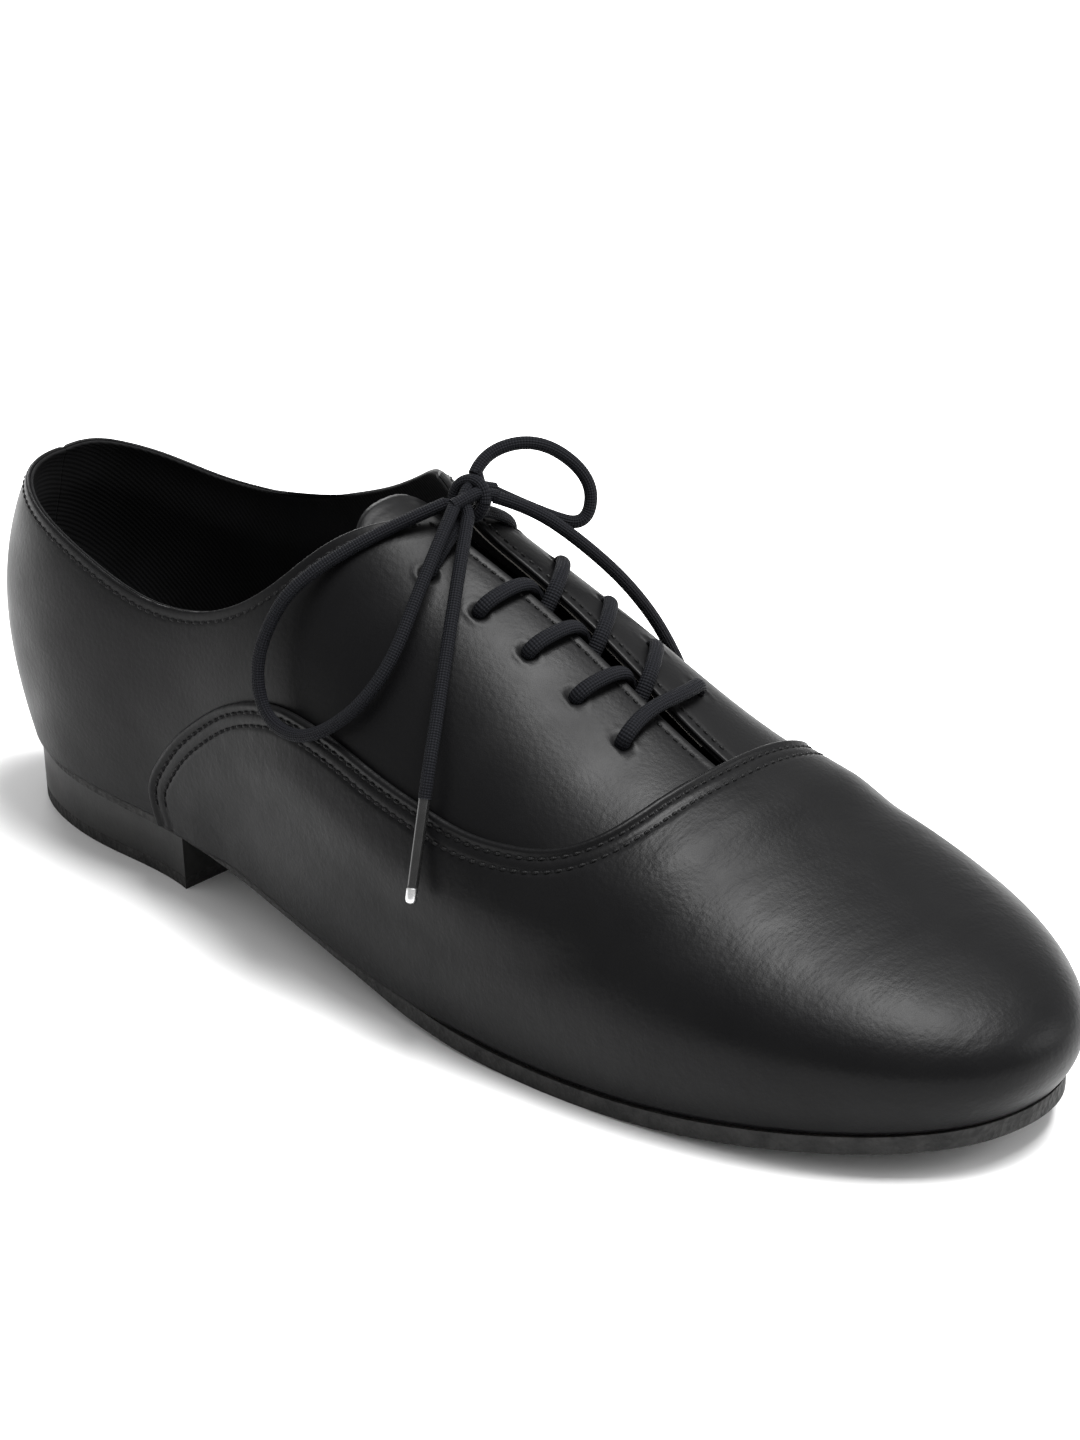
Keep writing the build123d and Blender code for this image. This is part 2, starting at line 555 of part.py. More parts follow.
def tube(points, radius, bend=None, label=""):
    """Round cord along straight runs joined by tangent arcs; returns the solid and its length."""
    points = [Vector(*map(float, p)) for p in points]
    radii = []
    for before, here, after in zip(points, points[1:], points[2:]):
        turn = math.radians((here - before).get_angle(after - here))
        room = 0.45 * min((here - before).length, (after - here).length) / math.tan(turn / 2)
        radii.append(min(room, bend) if bend else room)
    path = FilletPolyline(*points, radius=radii)
    profile = Plane(origin=path @ 0, z_dir=path % 0) * Circle(radius)
    solid = sweep(profile, path=path)
    print(f"{label}: length {path.length:.1f} mm, radii {[round(r, 1) for r in radii]}, "
          f"volume ratio {solid.volume / (math.pi * radius**2 * path.length):.3f}")
    return solid


def lace_pieces():
    """Laced part of the cord through the eyelets, strand by strand."""
    strands = [bottom_bar(), side_run(-1), side_run(1)]
    strands += [run_over(side, row) for row in range(1, EYELET_ROWS - 1) for side in (-1, 1)]
    strands += [top_run(-1), top_run(1)]
    return [tube(points, LACE_R, 4 * LACE_R, f"strand {i}") for i, points in enumerate(strands)]


def bow_loop(side):
    """Route of one loop of the bow, from the knot and back to it."""
    leave, arrive = LOOP_EXITS[side]
    return [knot_exit(leave, KNOT_FACET), *LOOPS[side], knot_exit(arrive, KNOT_FACET)]


def loose_end(side):
    """Route of one loose end, from the knot to its aglet."""
    return [knot_exit(END_EXITS[side], KNOT_FACET), *ENDS[side]]


def aglet(side):
    """Plain sleeve that closes the end of the lace."""
    before, end = (Vector(*p) for p in ENDS[side][-2:])
    frame = Plane(origin=end, z_dir=end - before)
    return frame * Cylinder(AGLET_R, AGLET_LENGTH, align=(Align.CENTER, Align.CENTER, Align.MIN))


def knot():
    """Knot as one rounded lump with a flat-bottomed socket where every strand leaves it."""
    lump = Pos(*KNOT_CENTRE) * Sphere(KNOT_R)
    for side in (-1, 1):
        for route in (top_run(side)[::-1], bow_loop(side), bow_loop(side)[::-1], loose_end(side)):
            start, then = (Vector(*map(float, p)) for p in route[:2])
            socket = Plane(origin=start, z_dir=then - start)
            lump -= socket * Cylinder(LACE_R + 0.05, 8, align=(Align.CENTER, Align.CENTER, Align.MIN))
    return lump


# ---------------------------------------------------------------- assembly
SIDES = {"lateral": -1, "medial": 1}


def eyelet_drills():
    """Round holes through both facings, square to the leather."""
    drills = []
    for side in SIDES.values():
        for row in range(EYELET_ROWS):
            start = eyelet(side, row, -6.0)
            frame = Plane(origin=tuple(start), z_dir=tuple(last_normal(start)))
            drills.append(frame * Cylinder(EYELET_R, 8, align=(Align.CENTER, Align.CENTER, Align.MIN)))
    return Compound(drills)


def upper_pieces():
    """Vamp, quarters, stiffeners and linings."""
    outer, inner = vamp_grid(0.0), vamp_grid(LINING_EDGE_GAP)
    pieces = {
        "vamp": sheet(outer, vamp_lift(outer), LEATHER_T),
        "vamp_lining": sheet(inner, LINING_LEVEL, LINING_T),
        "toe_puff": sheet(toe_puff_grid(), STIFF_LEVEL - 0.15, STIFF_T - 0.3),
        "heel_counter": sheet(counter_grid(), STIFF_LEVEL, STIFF_T),
    }
    drills = eyelet_drills()
    for name, side in SIDES.items():
        layers = {"quarter": (quarter_grid(side, LAP), 0.0, LEATHER_T),
                  "quarter_lining": (quarter_grid(side, -LINING_EDGE_GAP), LINING_LEVEL, LINING_T),
                  "facing_stay": (facing_stay_grid(side), STIFF_LEVEL, STIFF_T)}
        for layer, (grid, level, thickness) in layers.items():
            pieces[f"{layer}_{name}"] = (sheet(grid, level, thickness) - drills).solid()
    return pieces


def tongue_pieces():
    """Tongue leather and its lining."""
    grid = tongue_grid()
    level = tongue_level(grid)
    return {"tongue": sheet(grid, level, TONGUE_T),
            "tongue_lining": sheet(grid, level - TONGUE_T - LAYER_GAP, TONGUE_LINING_T)}


def lacing_pieces():
    """Lace in its eyelets, knot, bow loops, loose ends and aglets."""
    pieces = {"lace_through_eyelets": Compound(lace_pieces()), "lace_knot": knot()}
    for name, side in SIDES.items():
        pieces[f"lace_loop_{name}"] = tube(bow_loop(side), LACE_R, FREE_BEND, f"loop {name}")
        pieces[f"lace_end_{name}"] = tube(loose_end(side), LACE_R, FREE_BEND, f"end {name}")
        pieces[f"aglet_{name}"] = aglet(side)
    return pieces


def main():
    os.makedirs("parts", exist_ok=True)
    pieces = {**bottom_pieces(), **upper_pieces(), **tongue_pieces(), **lacing_pieces()}
    for node, shape in pieces.items():
        shape = Pos(-ORIGIN_X, 0, 0) * shape
        export_step(shape, f"parts/{node}.step")
        box = shape.bounding_box()
        print(f"{node}: {len(shape.solids())} solid(s), {box.size.X:.1f} x {box.size.Y:.1f} x {box.size.Z:.1f}")


if __name__ == "__main__":
    main()
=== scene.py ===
"""Scene of the right-foot leather Oxford dance shoe: the visible pieces over their CAD frame.

Shapes are worked out in the pattern's own millimetres, x = 0 at the back of the upper, and moved
to the row frame, in metres, when a mesh is made.
"""
import math

import bpy
import numpy as np
from mathutils import Matrix, Vector, kdtree


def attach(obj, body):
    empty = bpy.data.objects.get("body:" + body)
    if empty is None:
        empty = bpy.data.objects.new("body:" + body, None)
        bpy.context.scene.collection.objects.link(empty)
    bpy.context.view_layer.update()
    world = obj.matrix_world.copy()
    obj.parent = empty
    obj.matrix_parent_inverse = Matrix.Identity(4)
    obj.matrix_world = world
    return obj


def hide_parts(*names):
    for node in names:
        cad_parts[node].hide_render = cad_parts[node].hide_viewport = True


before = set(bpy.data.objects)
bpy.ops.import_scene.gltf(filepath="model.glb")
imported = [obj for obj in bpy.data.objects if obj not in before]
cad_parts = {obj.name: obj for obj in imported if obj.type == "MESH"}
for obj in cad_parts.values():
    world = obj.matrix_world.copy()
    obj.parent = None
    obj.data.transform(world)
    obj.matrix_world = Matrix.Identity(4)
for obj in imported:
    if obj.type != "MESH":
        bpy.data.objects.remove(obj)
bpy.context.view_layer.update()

# ---------------------------------------------------------------- driving dimensions, in mm
ORIGIN_X = 42.0                          # pattern x of the row frame's origin
TOE_X = 303.0
SOLE_T = 4.2
LEATHER_T, STIFF_T, LINING_T = 1.4, 1.0, 0.8
LAYER_GAP = 0.15
SEAM_HALF = 0.06
LINING_EDGE_GAP = 0.3
LAP = 9.0                                # overlap of the vamp on the quarters
LAP_LIFT = LEATHER_T + LAYER_GAP
RAMP_START, RAMP_END = LAP + 4, 27.0     # where the vamp comes down again, from its edge
LINING_LEVEL = -LEATHER_T - STIFF_T - 2 * LAYER_GAP
WALL_T = -LINING_LEVEL + LINING_T

# The lasted shape: rows of station x and half width, or of x and height.
LATERAL_WIDTH = [(0, 34), (40, 36), (80, 34.5), (120, 42), (160, 52), (200, 54.5), (240, 50.5), (303, 46)]
MEDIAL_WIDTH = [(0, 34), (40, 36), (80, 36), (120, 36), (160, 37.5), (200, 43.5), (240, 51.5), (303, 41)]
RIDGE_Y = [(0, 0), (80, 0), (130, 2), (150, 4.8), (170, 6.8), (200, 7.5), (240, 6.5), (303, 8)]
WIDEST_Z = [(0, 50), (40, 49), (80, 45), (120, 38), (160, 30), (200, 24), (240, 24), (303, 23)]
RIDGE_Z = [(0, 126), (40, 124), (80, 118), (110, 111.5), (140, 98), (170, 83), (200, 67), (225, 57.5),
           (250, 49), (303, 45)]
FEATHER_RISE = [(0, 17), (50, 15), (80, 12.5), (120, 8), (160, 2.6), (200, 0.2), (240, 1.6), (270, 4.6),
                (303, 8)]
HEEL_BACK_X = [(20, 5.0), (48, 0), (92, 3)]
SPINE_X = 150.0
TOE_ROUND_FROM, TOE_POWER = 210.0, 2.5
HEEL_ROUND_FROM, HEEL_POWER = 66.0, 2.5
SIDE_POWER = 2.25
TUCK = 0.36

# Edges of the upper, as points near the last.
FEATHER_GAP = 0.4
VAMP_EDGE = [(73, -32, 18), (71.5, -33.4, 27), (75.5, -34, 35), (82, -34.5, 43), (90, -35, 50),
             (99, -36, 56.5), (110.5, -37, 61.5), (120, -38, 63.5), (130, -39, 63.3), (141, -40, 61.5),
             (153, -41, 58.5), (165, -41.5, 56), (178, -41, 53.5), (189, -39, 53), (197, -36, 53.5),
             (203.5, -31, 55.3), (207.5, -24, 58), (209.5, -14, 61), (210.5, -3, 63), (210.8, 7, 63.5)]
CORNER_AT = 0.115                        # share of the vamp edge that belongs to its rear end
LAP_START, LINING_START = (26, 10.0), (6, 1.5)     # steps skipped on it, gap behind them to the foot
TOPLINE = {-1: [(3, 0.2, 86.5), (6.5, -9.5, 85.8), (13, -17, 84.5), (28, -27, 82), (41, -31, 79.5),
                (51, -32.4, 77), (61, -32.6, 74.2), (72, -32, 72.3), (86, -31.7, 74), (100.5, -31, 80),
                (110, -28.5, 87), (118, -22, 93.8), (125, -13.5, 99.5), (130, -5, 103), (131, -2, 104)],
           1: [(3, -0.2, 86.5), (6.5, 9.5, 85), (11, 16.5, 82), (18, 22.6, 78.3), (29, 29.4, 74.2),
               (42, 32.9, 73), (56, 33.8, 74.5), (74, 32.1, 80.8), (90, 29.1, 88.2), (106, 23.3, 97.8),
               (114, 18.5, 102), (120, 14.8, 104.6)]}
BACK_SEAM_DEPTH, BACK_SEAM_WIDTH, BACK_SEAM_X = 0.35, 0.7, 30.0
FACING_TOP_X, FACING_END_X = {-1: 131.0, 1: 120.0}, 210.8
GAP_TOP, GAP_END, GAP_TOP_X = 3.6, 1.5, 131.0
FLARE, FLARE_FROM = {-1: 0.0, 1: 9.2}, 145.0

TONGUE_LEVEL, TONGUE_T, TONGUE_LINING_T = -8.1, 1.2, 0.7
TONGUE_TOP_X, TONGUE_ROOT_X = 118.0, 224.0
TONGUE_HALF_TOP, TONGUE_HALF_ROOT = 27.0, 17.0
TONGUE_CORNER, TONGUE_FADE_X, TONGUE_SEAM = 9.0, 203.0, 2.5
ROOT_LEVEL = LINING_LEVEL - LINING_T - 0.4

BOARD_TOP, SOCK_T, BOARD_INSET = 2.3, 1.0, WALL_T + 0.9

LACE_R = 1.5
EYELET_ROWS, EYELET_PITCH, LAST_ROW_X = 5, 13.3, 194.5
EYELET_BACK = {-1: 14.0, 1: 12.0}
MEDIAL_SKEW = 4.0
EYELET_DENT, EYELET_DENT_R = 1.1, 1.9
EYELET_RIM, EYELET_RIM_R, EYELET_RIM_WIDTH = 0.25, 2.6, 0.7
EDGE_SLIDE, DIVE_SLIDE = {-1: 1.0, 1: 8.5}, {-1: 2.0, 1: 11.5}
MID_LEATHER = -WALL_T / 2
OVER, UNDER = 2.7, -WALL_T - LACE_R - 0.4      # lifts of a strand above and below the facing
LACE_FLAT = 0.72
KNOT_CENTRE = (138.0, 3.5, 106.0)
KNOT_FACET, KNOT_LEG, KNOT_CORD_R = 5.6, 6.6, 0.97 * LACE_R
KNOT_WRAP, KNOT_WRAP_LEAN = (3.9, 1.4, 4.1), 0.6
AGLET_START, AGLET_TIP_POINTS = -0.6, 7
AGLET_PROFILE = [(0.0, 1.05), (0.25, 1.32), (0.6, 1.36), (1.2, 1.3), (6, 1.27), (14, 1.25), (19.5, 1.22),
                 (20.2, 1.2), (20.3, 1.3), (20.6, 1.33), (22.6, 1.3), (23.2, 1.15), (23.5, 0.8),
                 (23.6, 0.1)]                  # reach, radius
TO_EYELET = {-1: (0.15, -0.70, -0.70), 1: (-0.05, 0.70, -0.70)}
LOOP_EXITS = {-1: ((-0.45, -0.88, -0.05), (0.15, -0.97, 0.10)),
              1: ((-0.14, 0.45, 0.88), (0.25, 0.95, 0.15))}
END_EXITS = {-1: (0.60, -0.70, -0.35), 1: (0.80, 0.58, 0.15)}
LOOPS = {-1: [(121.0, -30.8, 96.8), (114.0, -40.9, 77.0), (119.5, -44.0, 62.0), (135.0, -44.5, 61.5),
              (149.5, -36.5, 77.0), (145.5, -18.0, 98.0)],
         1: [(136.0, 10.5, 115.0), (144.0, 20.5, 117.2), (152.5, 28.5, 107.5), (153.5, 25.5, 97.0),
             (147.5, 17.5, 100.5)]}
ENDS = {-1: [(148.5, -10.5, 98.5), (157.5, -24.5, 84.0), (164.5, -35.8, 70.5), (167.6, -41.0, 64.5),
             (168.6, -43.3, 58.8)],
        1: [(148.5, 12.0, 104.5), (155.5, 20.5, 96.0), (161.0, 32.0, 82.5), (165.0, 41.0, 67.0),
            (167.0, 45.0, 55.0)]}
KNOT_STRANDS = [                               # exit, offsets from the knot's centre, exit
    (TO_EYELET[-1], [(1.5, -3.0, -3.2), (1.5, 2.0, -2.4), (0.5, 3.6, 0.5)], LOOP_EXITS[1][0]),
    (TO_EYELET[1], [(-1.5, 3.0, -3.2), (-2.0, -1.5, -2.6), (-2.4, -3.6, -1.0)], LOOP_EXITS[-1][0]),
    (LOOP_EXITS[-1][1], [(1.8, -3.4, 1.6), (2.4, 0.5, 2.2), (3.4, 2.6, 1.2)], END_EXITS[1]),
    (LOOP_EXITS[1][1], [(1.0, 3.6, 2.0), (-0.4, 0.8, 3.2), (0.8, -3.2, 1.2), (3.0, -3.6, -1.6)],
     END_EXITS[-1])]

# Finish of the sewn edges.
BEAD, BEAD_AT, BEAD_WIDTH = 0.34, 1.0, 0.75
GROOVE, GROOVE_WIDTH = 0.34, 0.65
COLLAR_HALF, COLLAR_RELIEF = 0.5, 0.25   # skived collar edge: half thickness, share of the full bead
SKIVE_START, SKIVE_END = 0.6, 8.0
LINING_TUCK, TUCK_START, TUCK_END = -1.2, 1.5, 14.0     # lining drawn up behind the collar edge
VAMP_STITCHES = (2.4, 5.4)               # distance of the two seams from the vamp edge
EDGE_STITCH = 2.5                        # distance of the seam from the topline and facing edge
STITCH_PITCH, STITCH_LENGTH, THREAD_R = 2.6, 1.75, 0.33
STITCH_RISE = np.array([-0.28, 0.02, 0.13, 0.13, 0.02, -0.28])
STITCH_GIRTH = np.array([0.45, 0.9, 1.0, 1.0, 0.9, 0.45])
SEAM_LIFT = 0.05 - GROOVE
HOLE_LENGTH, HOLE_R, HOLE_DEPTH = 0.85, 0.42, 0.16      # needle holes between the stitches
TUBE_SIDES = 20
SIDES = {"lateral": -1, "medial": 1}

# Camera and light, in metres and degrees, row frame.
CAMERA_AZIMUTH, CAMERA_ELEVATION, CAMERA_DISTANCE = 42.8, 25.1, 1.23
CAMERA_TARGET = (0.1104, 0.0110, 0.0538)
CAMERA_LENS, CAMERA_SENSOR = 136.4, 36.0
WORLD_STRENGTH = 0.62
LIGHTS = [("key", (0.35, 0.25, 1.4), 0.75, 54), ("left", (-1.0, 0.75, 0.5), 0.45, 5),
          ("right", (1.0, 0.9, 0.55), 0.5, 5)]        # name, place, size, power
LIGHT_TARGET = (0.1, 0, 0.04)


# ---------------------------------------------------------------- the lasted shape
def smooth_curve(rows):
    """Natural cubic spline through (x, value) rows, as a function of x."""
    xs, ys = np.array(rows, float).T
    gap, n = np.diff(xs), len(xs)
    matrix, right = np.eye(n), np.zeros(n)
    for i in range(1, n - 1):
        matrix[i, i - 1:i + 2] = gap[i - 1], 2 * (gap[i - 1] + gap[i]), gap[i]
        right[i] = 6 * ((ys[i + 1] - ys[i]) / gap[i] - (ys[i] - ys[i - 1]) / gap[i - 1])
    bend = np.linalg.solve(matrix, right)

    def value(x):
        x = np.clip(np.asarray(x, float), xs[0], xs[-1])
        i = np.clip(np.searchsorted(xs, x) - 1, 0, n - 2)
        a = (xs[i + 1] - x) / gap[i]
        b = 1 - a
        return a * ys[i] + b * ys[i + 1] + ((a**3 - a) * bend[i] + (b**3 - b) * bend[i + 1]) * gap[i]**2 / 6
    return value


lateral_width, medial_width = smooth_curve(LATERAL_WIDTH), smooth_curve(MEDIAL_WIDTH)
ridge_y, widest_z, ridge_z = smooth_curve(RIDGE_Y), smooth_curve(WIDEST_Z), smooth_curve(RIDGE_Z)
feather_rise, heel_back_x = smooth_curve(FEATHER_RISE), smooth_curve(HEEL_BACK_X)
LOWEST_RISE = float(feather_rise(np.linspace(0, TOE_X, 600)).min())


def feather_z(x):
    """Height of the feather edge; the tread touches the ground at its lowest point."""
    return feather_rise(x) - LOWEST_RISE + SOLE_T


def last_value(p):
    """Negative inside the outer face of the upper, positive outside, zero on it."""
    x, y, z = p[..., 0], p[..., 1], p[..., 2]
    mid = widest_z(x)
    half = np.where(y < ridge_y(x), lateral_width(x), medial_width(x))
    rise = np.where(z > mid, (z - mid) / (ridge_z(x) - mid), (mid - z) * TUCK / (mid - feather_z(x)))
    toe = np.clip((x - TOE_ROUND_FROM) / (TOE_X - TOE_ROUND_FROM), 0, None)
    heel = np.clip((HEEL_ROUND_FROM - x) / (HEEL_ROUND_FROM - heel_back_x(z)), 0, None)
    side = np.abs(y - ridge_y(x)) / half
    return side**SIDE_POWER + rise**2 + toe**TOE_POWER + heel**HEEL_POWER - 1


def last_normal(p):
    """Outward unit normals of the last at the points p."""
    step = 0.05
    grad = np.stack([last_value(p + step * e) - last_value(p - step * e) for e in np.eye(3)], -1)
    return grad / np.linalg.norm(grad, axis=-1, keepdims=True)


def reach_surface(origin, ray, limit=220.0, steps=36):
    """Points where rays from inside the last meet its surface, by halving the interval."""
    low, high = np.zeros(ray.shape[:-1]), np.full(ray.shape[:-1], limit)
    for _ in range(steps):
        middle = (low + high) / 2
        inside = last_value(origin + ray * middle[..., None]) < 0
        low, high = np.where(inside, middle, low), np.where(inside, high, middle)
    return origin + ray * low[..., None]


def onto_last(guess):
    """Move guess points radially from the spine of the last onto its surface."""
    guess = np.asarray(guess, float)
    x = SPINE_X + 85 * np.tanh((guess[..., 0] - SPINE_X) / 95)
    origin = np.stack([x, ridge_y(x), 0.55 * widest_z(x) + 0.45 * feather_z(x) + 10], -1)
    ray = guess - origin
    return reach_surface(origin, ray / np.linalg.norm(ray, axis=-1, keepdims=True))


def feather_point(angle, height=0.0):
    """Point of the last at the given height above the feather edge, by plan angle about the spine."""
    angle = np.asarray(angle, float)
    x = SPINE_X + 75 * np.tanh(2.2 * np.cos(angle))
    origin, ray = np.stack([x, ridge_y(x)], -1), np.stack([np.cos(angle), np.sin(angle)], -1)
    low, high = np.zeros(angle.shape), np.full(angle.shape, 200.0)
    for _ in range(36):
        middle = (low + high) / 2
        plan = origin + ray * middle[..., None]
        p = np.concatenate([plan, (feather_z(plan[..., 0]) + height)[..., None]], -1)
        inside = last_value(p) < 0
        low, high = np.where(inside, middle, low), np.where(inside, high, middle)
    return p


def across_last(x, reach):
    """Points of the last at stations x and arc lengths 'reach' from the ridge (medial positive)."""
    x, reach = np.broadcast_arrays(np.asarray(x, float), np.asarray(reach, float))
    fan = np.radians(np.linspace(-100, 100, 241))
    hub = np.stack([x, ridge_y(x), widest_z(x)], -1)[..., None, :]
    ray = np.broadcast_to(np.stack([0 * fan, np.sin(fan), np.cos(fan)], -1), x.shape + (len(fan), 3))
    arc = reach_surface(hub, ray, 150.0, 28)
    along = np.cumsum(np.linalg.norm(np.diff(arc, axis=-2), axis=-1), axis=-1)
    along = np.concatenate([np.zeros(x.shape + (1,)), along], -1)
    points = np.empty(x.shape + (3,))
    for index in np.ndindex(x.shape):
        length = along[index] - along[index][len(fan) // 2]
        points[index] = [np.interp(reach[index], length, arc[index][:, k]) for k in range(3)]
    return points


def smoothstep(x, start, end):
    """0 before start, 1 after end, smooth between."""
    share = np.clip((np.asarray(x, float) - start) / (end - start), 0, 1)
    return share**2 * (3 - 2 * share)


# ---------------------------------------------------------------- lines and grids on the last
def lengths_along(line):
    """Length from the start of a polyline to each of its points."""
    return np.concatenate([[0], np.cumsum(np.linalg.norm(np.diff(line, axis=0), axis=1))])


def space_curve(rows):
    """Smooth 3-D curve through the rows, as a function of 0..1 along its length."""
    rows = np.array(rows, float)
    along = lengths_along(rows)
    parts = [smooth_curve(np.stack([along / along[-1], rows[:, k]], 1)) for k in range(3)]
    return lambda t: np.stack([part(t) for part in parts], -1)


def at_shares(line, shares):
    """Points of a polyline at the given shares of its length."""
    along = lengths_along(line)
    return np.stack([np.interp(shares * along[-1], along, line[:, k]) for k in range(3)], -1)


def even(line, count):
    """Points spaced evenly by length along a polyline."""
    return at_shares(line, np.linspace(0, 1, count))


def finer_at_end(count, power):
    """Shares from 0 to 1 whose steps shrink towards 1."""
    return 1 - (1 - np.linspace(0, 1, count))**power


def finer_at_ends(count, power):
    """Shares from 0 to 1 whose steps shrink towards both ends."""
    s = np.linspace(0, 1, count)
    return np.where(s < 0.5, 0.5 * (2 * s)**power, 1 - 0.5 * (2 - 2 * s)**power)


def mirrored(rows, side):
    """Rows of the lateral side (side = -1), or the same rows flipped over the ridge."""
    rows = np.array(rows, float)
    if side > 0:
        rows[:, 1] = 2 * ridge_y(rows[:, 0]) - rows[:, 1]
    return rows


def beside(line, shift, side):
    """The line on the last moved by shift across its own direction, within the surface."""
    tangent = np.gradient(line, axis=0)
    across = np.cross(tangent, last_normal(line)) * -side
    return onto_last(line + shift * across / np.linalg.norm(across, axis=1, keepdims=True))


def vamp_edge(side, count, shift=0.0):
    """Points of the vamp edge on the last, moved by shift towards the toe side of the line."""
    line = onto_last(space_curve(mirrored(VAMP_EDGE, side))(np.linspace(0, 1, count)))
    return beside(line, shift, side) if shift else line


def facing_edge(side, x, back=0.0):
    """Point of the facing edge at station x, or 'back' mm away from it on the quarter."""
    x = np.asarray(x, float)
    share = (x - GAP_TOP_X) / (FACING_END_X - GAP_TOP_X)
    flare = FLARE[side] * (np.clip(FLARE_FROM - x, 0, None) / (FLARE_FROM - FACING_TOP_X[side]))**2
    return across_last(x, side * (GAP_TOP + (GAP_END - GAP_TOP) * share + flare + back))


def topline(side, count):
    """Points of the collar edge from the back seam to the top of the facing."""
    line = onto_last(space_curve(TOPLINE[side])(np.linspace(0, 1, count)))
    line[0, 1] = side * SEAM_HALF
    return line


def angle_at(x, side):
    """Plan angle of the feather point that lies at station x on the given side."""
    sweep = np.linspace(0, math.pi, 400)
    return side * float(np.interp(-x, -feather_point(side * sweep)[:, 0], sweep))


def coons(bottom, top, left, right, u, v):
    """Grid of points spanned between four boundary lines at shares u and v, laid on the last."""
    bottom, top = at_shares(bottom, u), at_shares(top, u)
    left, right = at_shares(left, v), at_shares(right, v)
    u, v = u[:, None, None], v[None, :, None]
    grid = (1 - v) * bottom[:, None] + v * top[:, None] + (1 - u) * left[None] + u * right[None]
    grid -= (1 - u) * ((1 - v) * bottom[0] + v * top[0]) + u * ((1 - v) * bottom[-1] + v * top[-1])
    return onto_last(grid)


def vamp_grid(edge_shift, u, v):
    """Grid of the vamp: feather edge round the toe below, vamp edge above."""
    edges = [vamp_edge(side, 600, shift=edge_shift) for side in (-1, 1)]
    corner = int(600 * CORNER_AT)
    starts = [angle_at(edge[0, 0], side) for edge, side in zip(edges, (-1, 1))]
    bottom = feather_point(np.linspace(*starts, 600), FEATHER_GAP)
    left, right = [np.concatenate([bottom[[end]], edge[12:corner]]) for end, edge in zip((0, -1), edges)]
    top = np.concatenate([edges[0][corner - 1:], edges[1][:corner - 2:-1]])
    return coons(bottom, top, left, right, u, v)


def rounded(line, reach):
    """Polyline whose corners are rounded over 'reach' points on either side."""
    padded = np.concatenate([np.repeat(line[:1], reach, 0), line, np.repeat(line[-1:], reach, 0)])
    kernel = np.full(2 * reach + 1, 1 / (2 * reach + 1))
    return np.stack([np.convolve(padded[:, k], kernel, "valid") for k in range(3)], -1)


def quarter_grid(side, lap, u, v):
    """Grid of one quarter: feather and vamp line below, topline above, facing at the front."""
    skipped, short = LAP_START if lap > 0 else LINING_START
    lap_line = vamp_edge(side, 160, shift=lap)[skipped:]
    end = angle_at(lap_line[0, 0] - short, side)
    foot = even(feather_point(np.linspace(side * (math.pi - 1e-3), end, 300), FEATHER_GAP), 60)
    bottom = onto_last(rounded(even(np.concatenate([foot, lap_line]), 300), 4))
    front = facing_edge(side, np.linspace(FACING_END_X + lap, FACING_TOP_X[side], 60))
    bottom = bottom[:np.argmin(np.linalg.norm(bottom - front[0], axis=1))]
    bottom = np.concatenate([bottom, front[:1]])
    top = np.concatenate([topline(side, 400)[:-14], front[-1:]])
    seam_z = np.linspace(bottom[0, 2], top[0, 2], 40)
    seam = onto_last(np.stack([heel_back_x(seam_z), 0 * seam_z + side * SEAM_HALF, seam_z], -1))
    seam[0], seam[-1] = bottom[0], top[0]
    return coons(bottom, top, seam, front, u, v)


def tongue_grid(rows, columns):
    """Grid of the tongue below the facings, wider and rounded at the top."""
    x = np.linspace(TONGUE_TOP_X, TONGUE_ROOT_X, rows)
    share = (x - TONGUE_TOP_X) / (TONGUE_ROOT_X - TONGUE_TOP_X)
    half = TONGUE_HALF_TOP + (TONGUE_HALF_ROOT - TONGUE_HALF_TOP) * share
    across = np.linspace(-1, 1, columns)
    pulled_in = TONGUE_CORNER * np.clip(1 - share * 6, 0, 1)[:, None]**2 * across**4
    return across_last(x[:, None] + pulled_in, half[:, None] * across)


def nearest(points, line):
    """Distance of every grid point to the closest point of a dense line."""
    tree = kdtree.KDTree(len(line))
    for i, p in enumerate(line):
        tree.insert(p, i)
    tree.balance()
    flat = points.reshape(-1, 3)
    return np.array([tree.find(p)[2] for p in flat]).reshape(points.shape[:-1])


# ---------------------------------------------------------------- meshes
def to_scene(points):
    """Pattern millimetres to metres in the row frame."""
    return (np.asarray(points, float) - [ORIGIN_X, 0, 0]) / 1000


def make_object(name, points, faces, material, body, nodes=(), uv=None):
    """Smooth mesh object with its material, body and the CAD nodes that it stands for."""
    mesh = bpy.data.meshes.new(name)
    mesh.from_pydata([tuple(p) for p in to_scene(points)], [], [tuple(map(int, f)) for f in faces])
    mesh.polygons.foreach_set("use_smooth", [True] * len(mesh.polygons))
    if uv is not None:
        corner = np.empty(len(mesh.loops), int)
        mesh.loops.foreach_get("vertex_index", corner)
        mesh.uv_layers.new(name="UVMap").data.foreach_set("uv", np.asarray(uv)[corner].ravel())
    for one in material if isinstance(material, (list, tuple)) else [material]:
        mesh.materials.append(one)
    mesh.update()
    piece = bpy.data.objects.new(name, mesh)
    bpy.context.scene.collection.objects.link(piece)
    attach(piece, body)
    if nodes:
        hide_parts(*nodes)
    return piece


def grid_faces(rows, columns, wrap=False):
    """Quads of a grid of rows x columns points; wrap joins the last column to the first."""
    i, j = np.meshgrid(np.arange(rows - 1), np.arange(columns if wrap else columns - 1), indexing="ij")
    k = (j + 1) % columns
    quads = np.stack([i * columns + j, (i + 1) * columns + j, (i + 1) * columns + k, i * columns + k], -1)
    return quads.reshape(-1, 4)


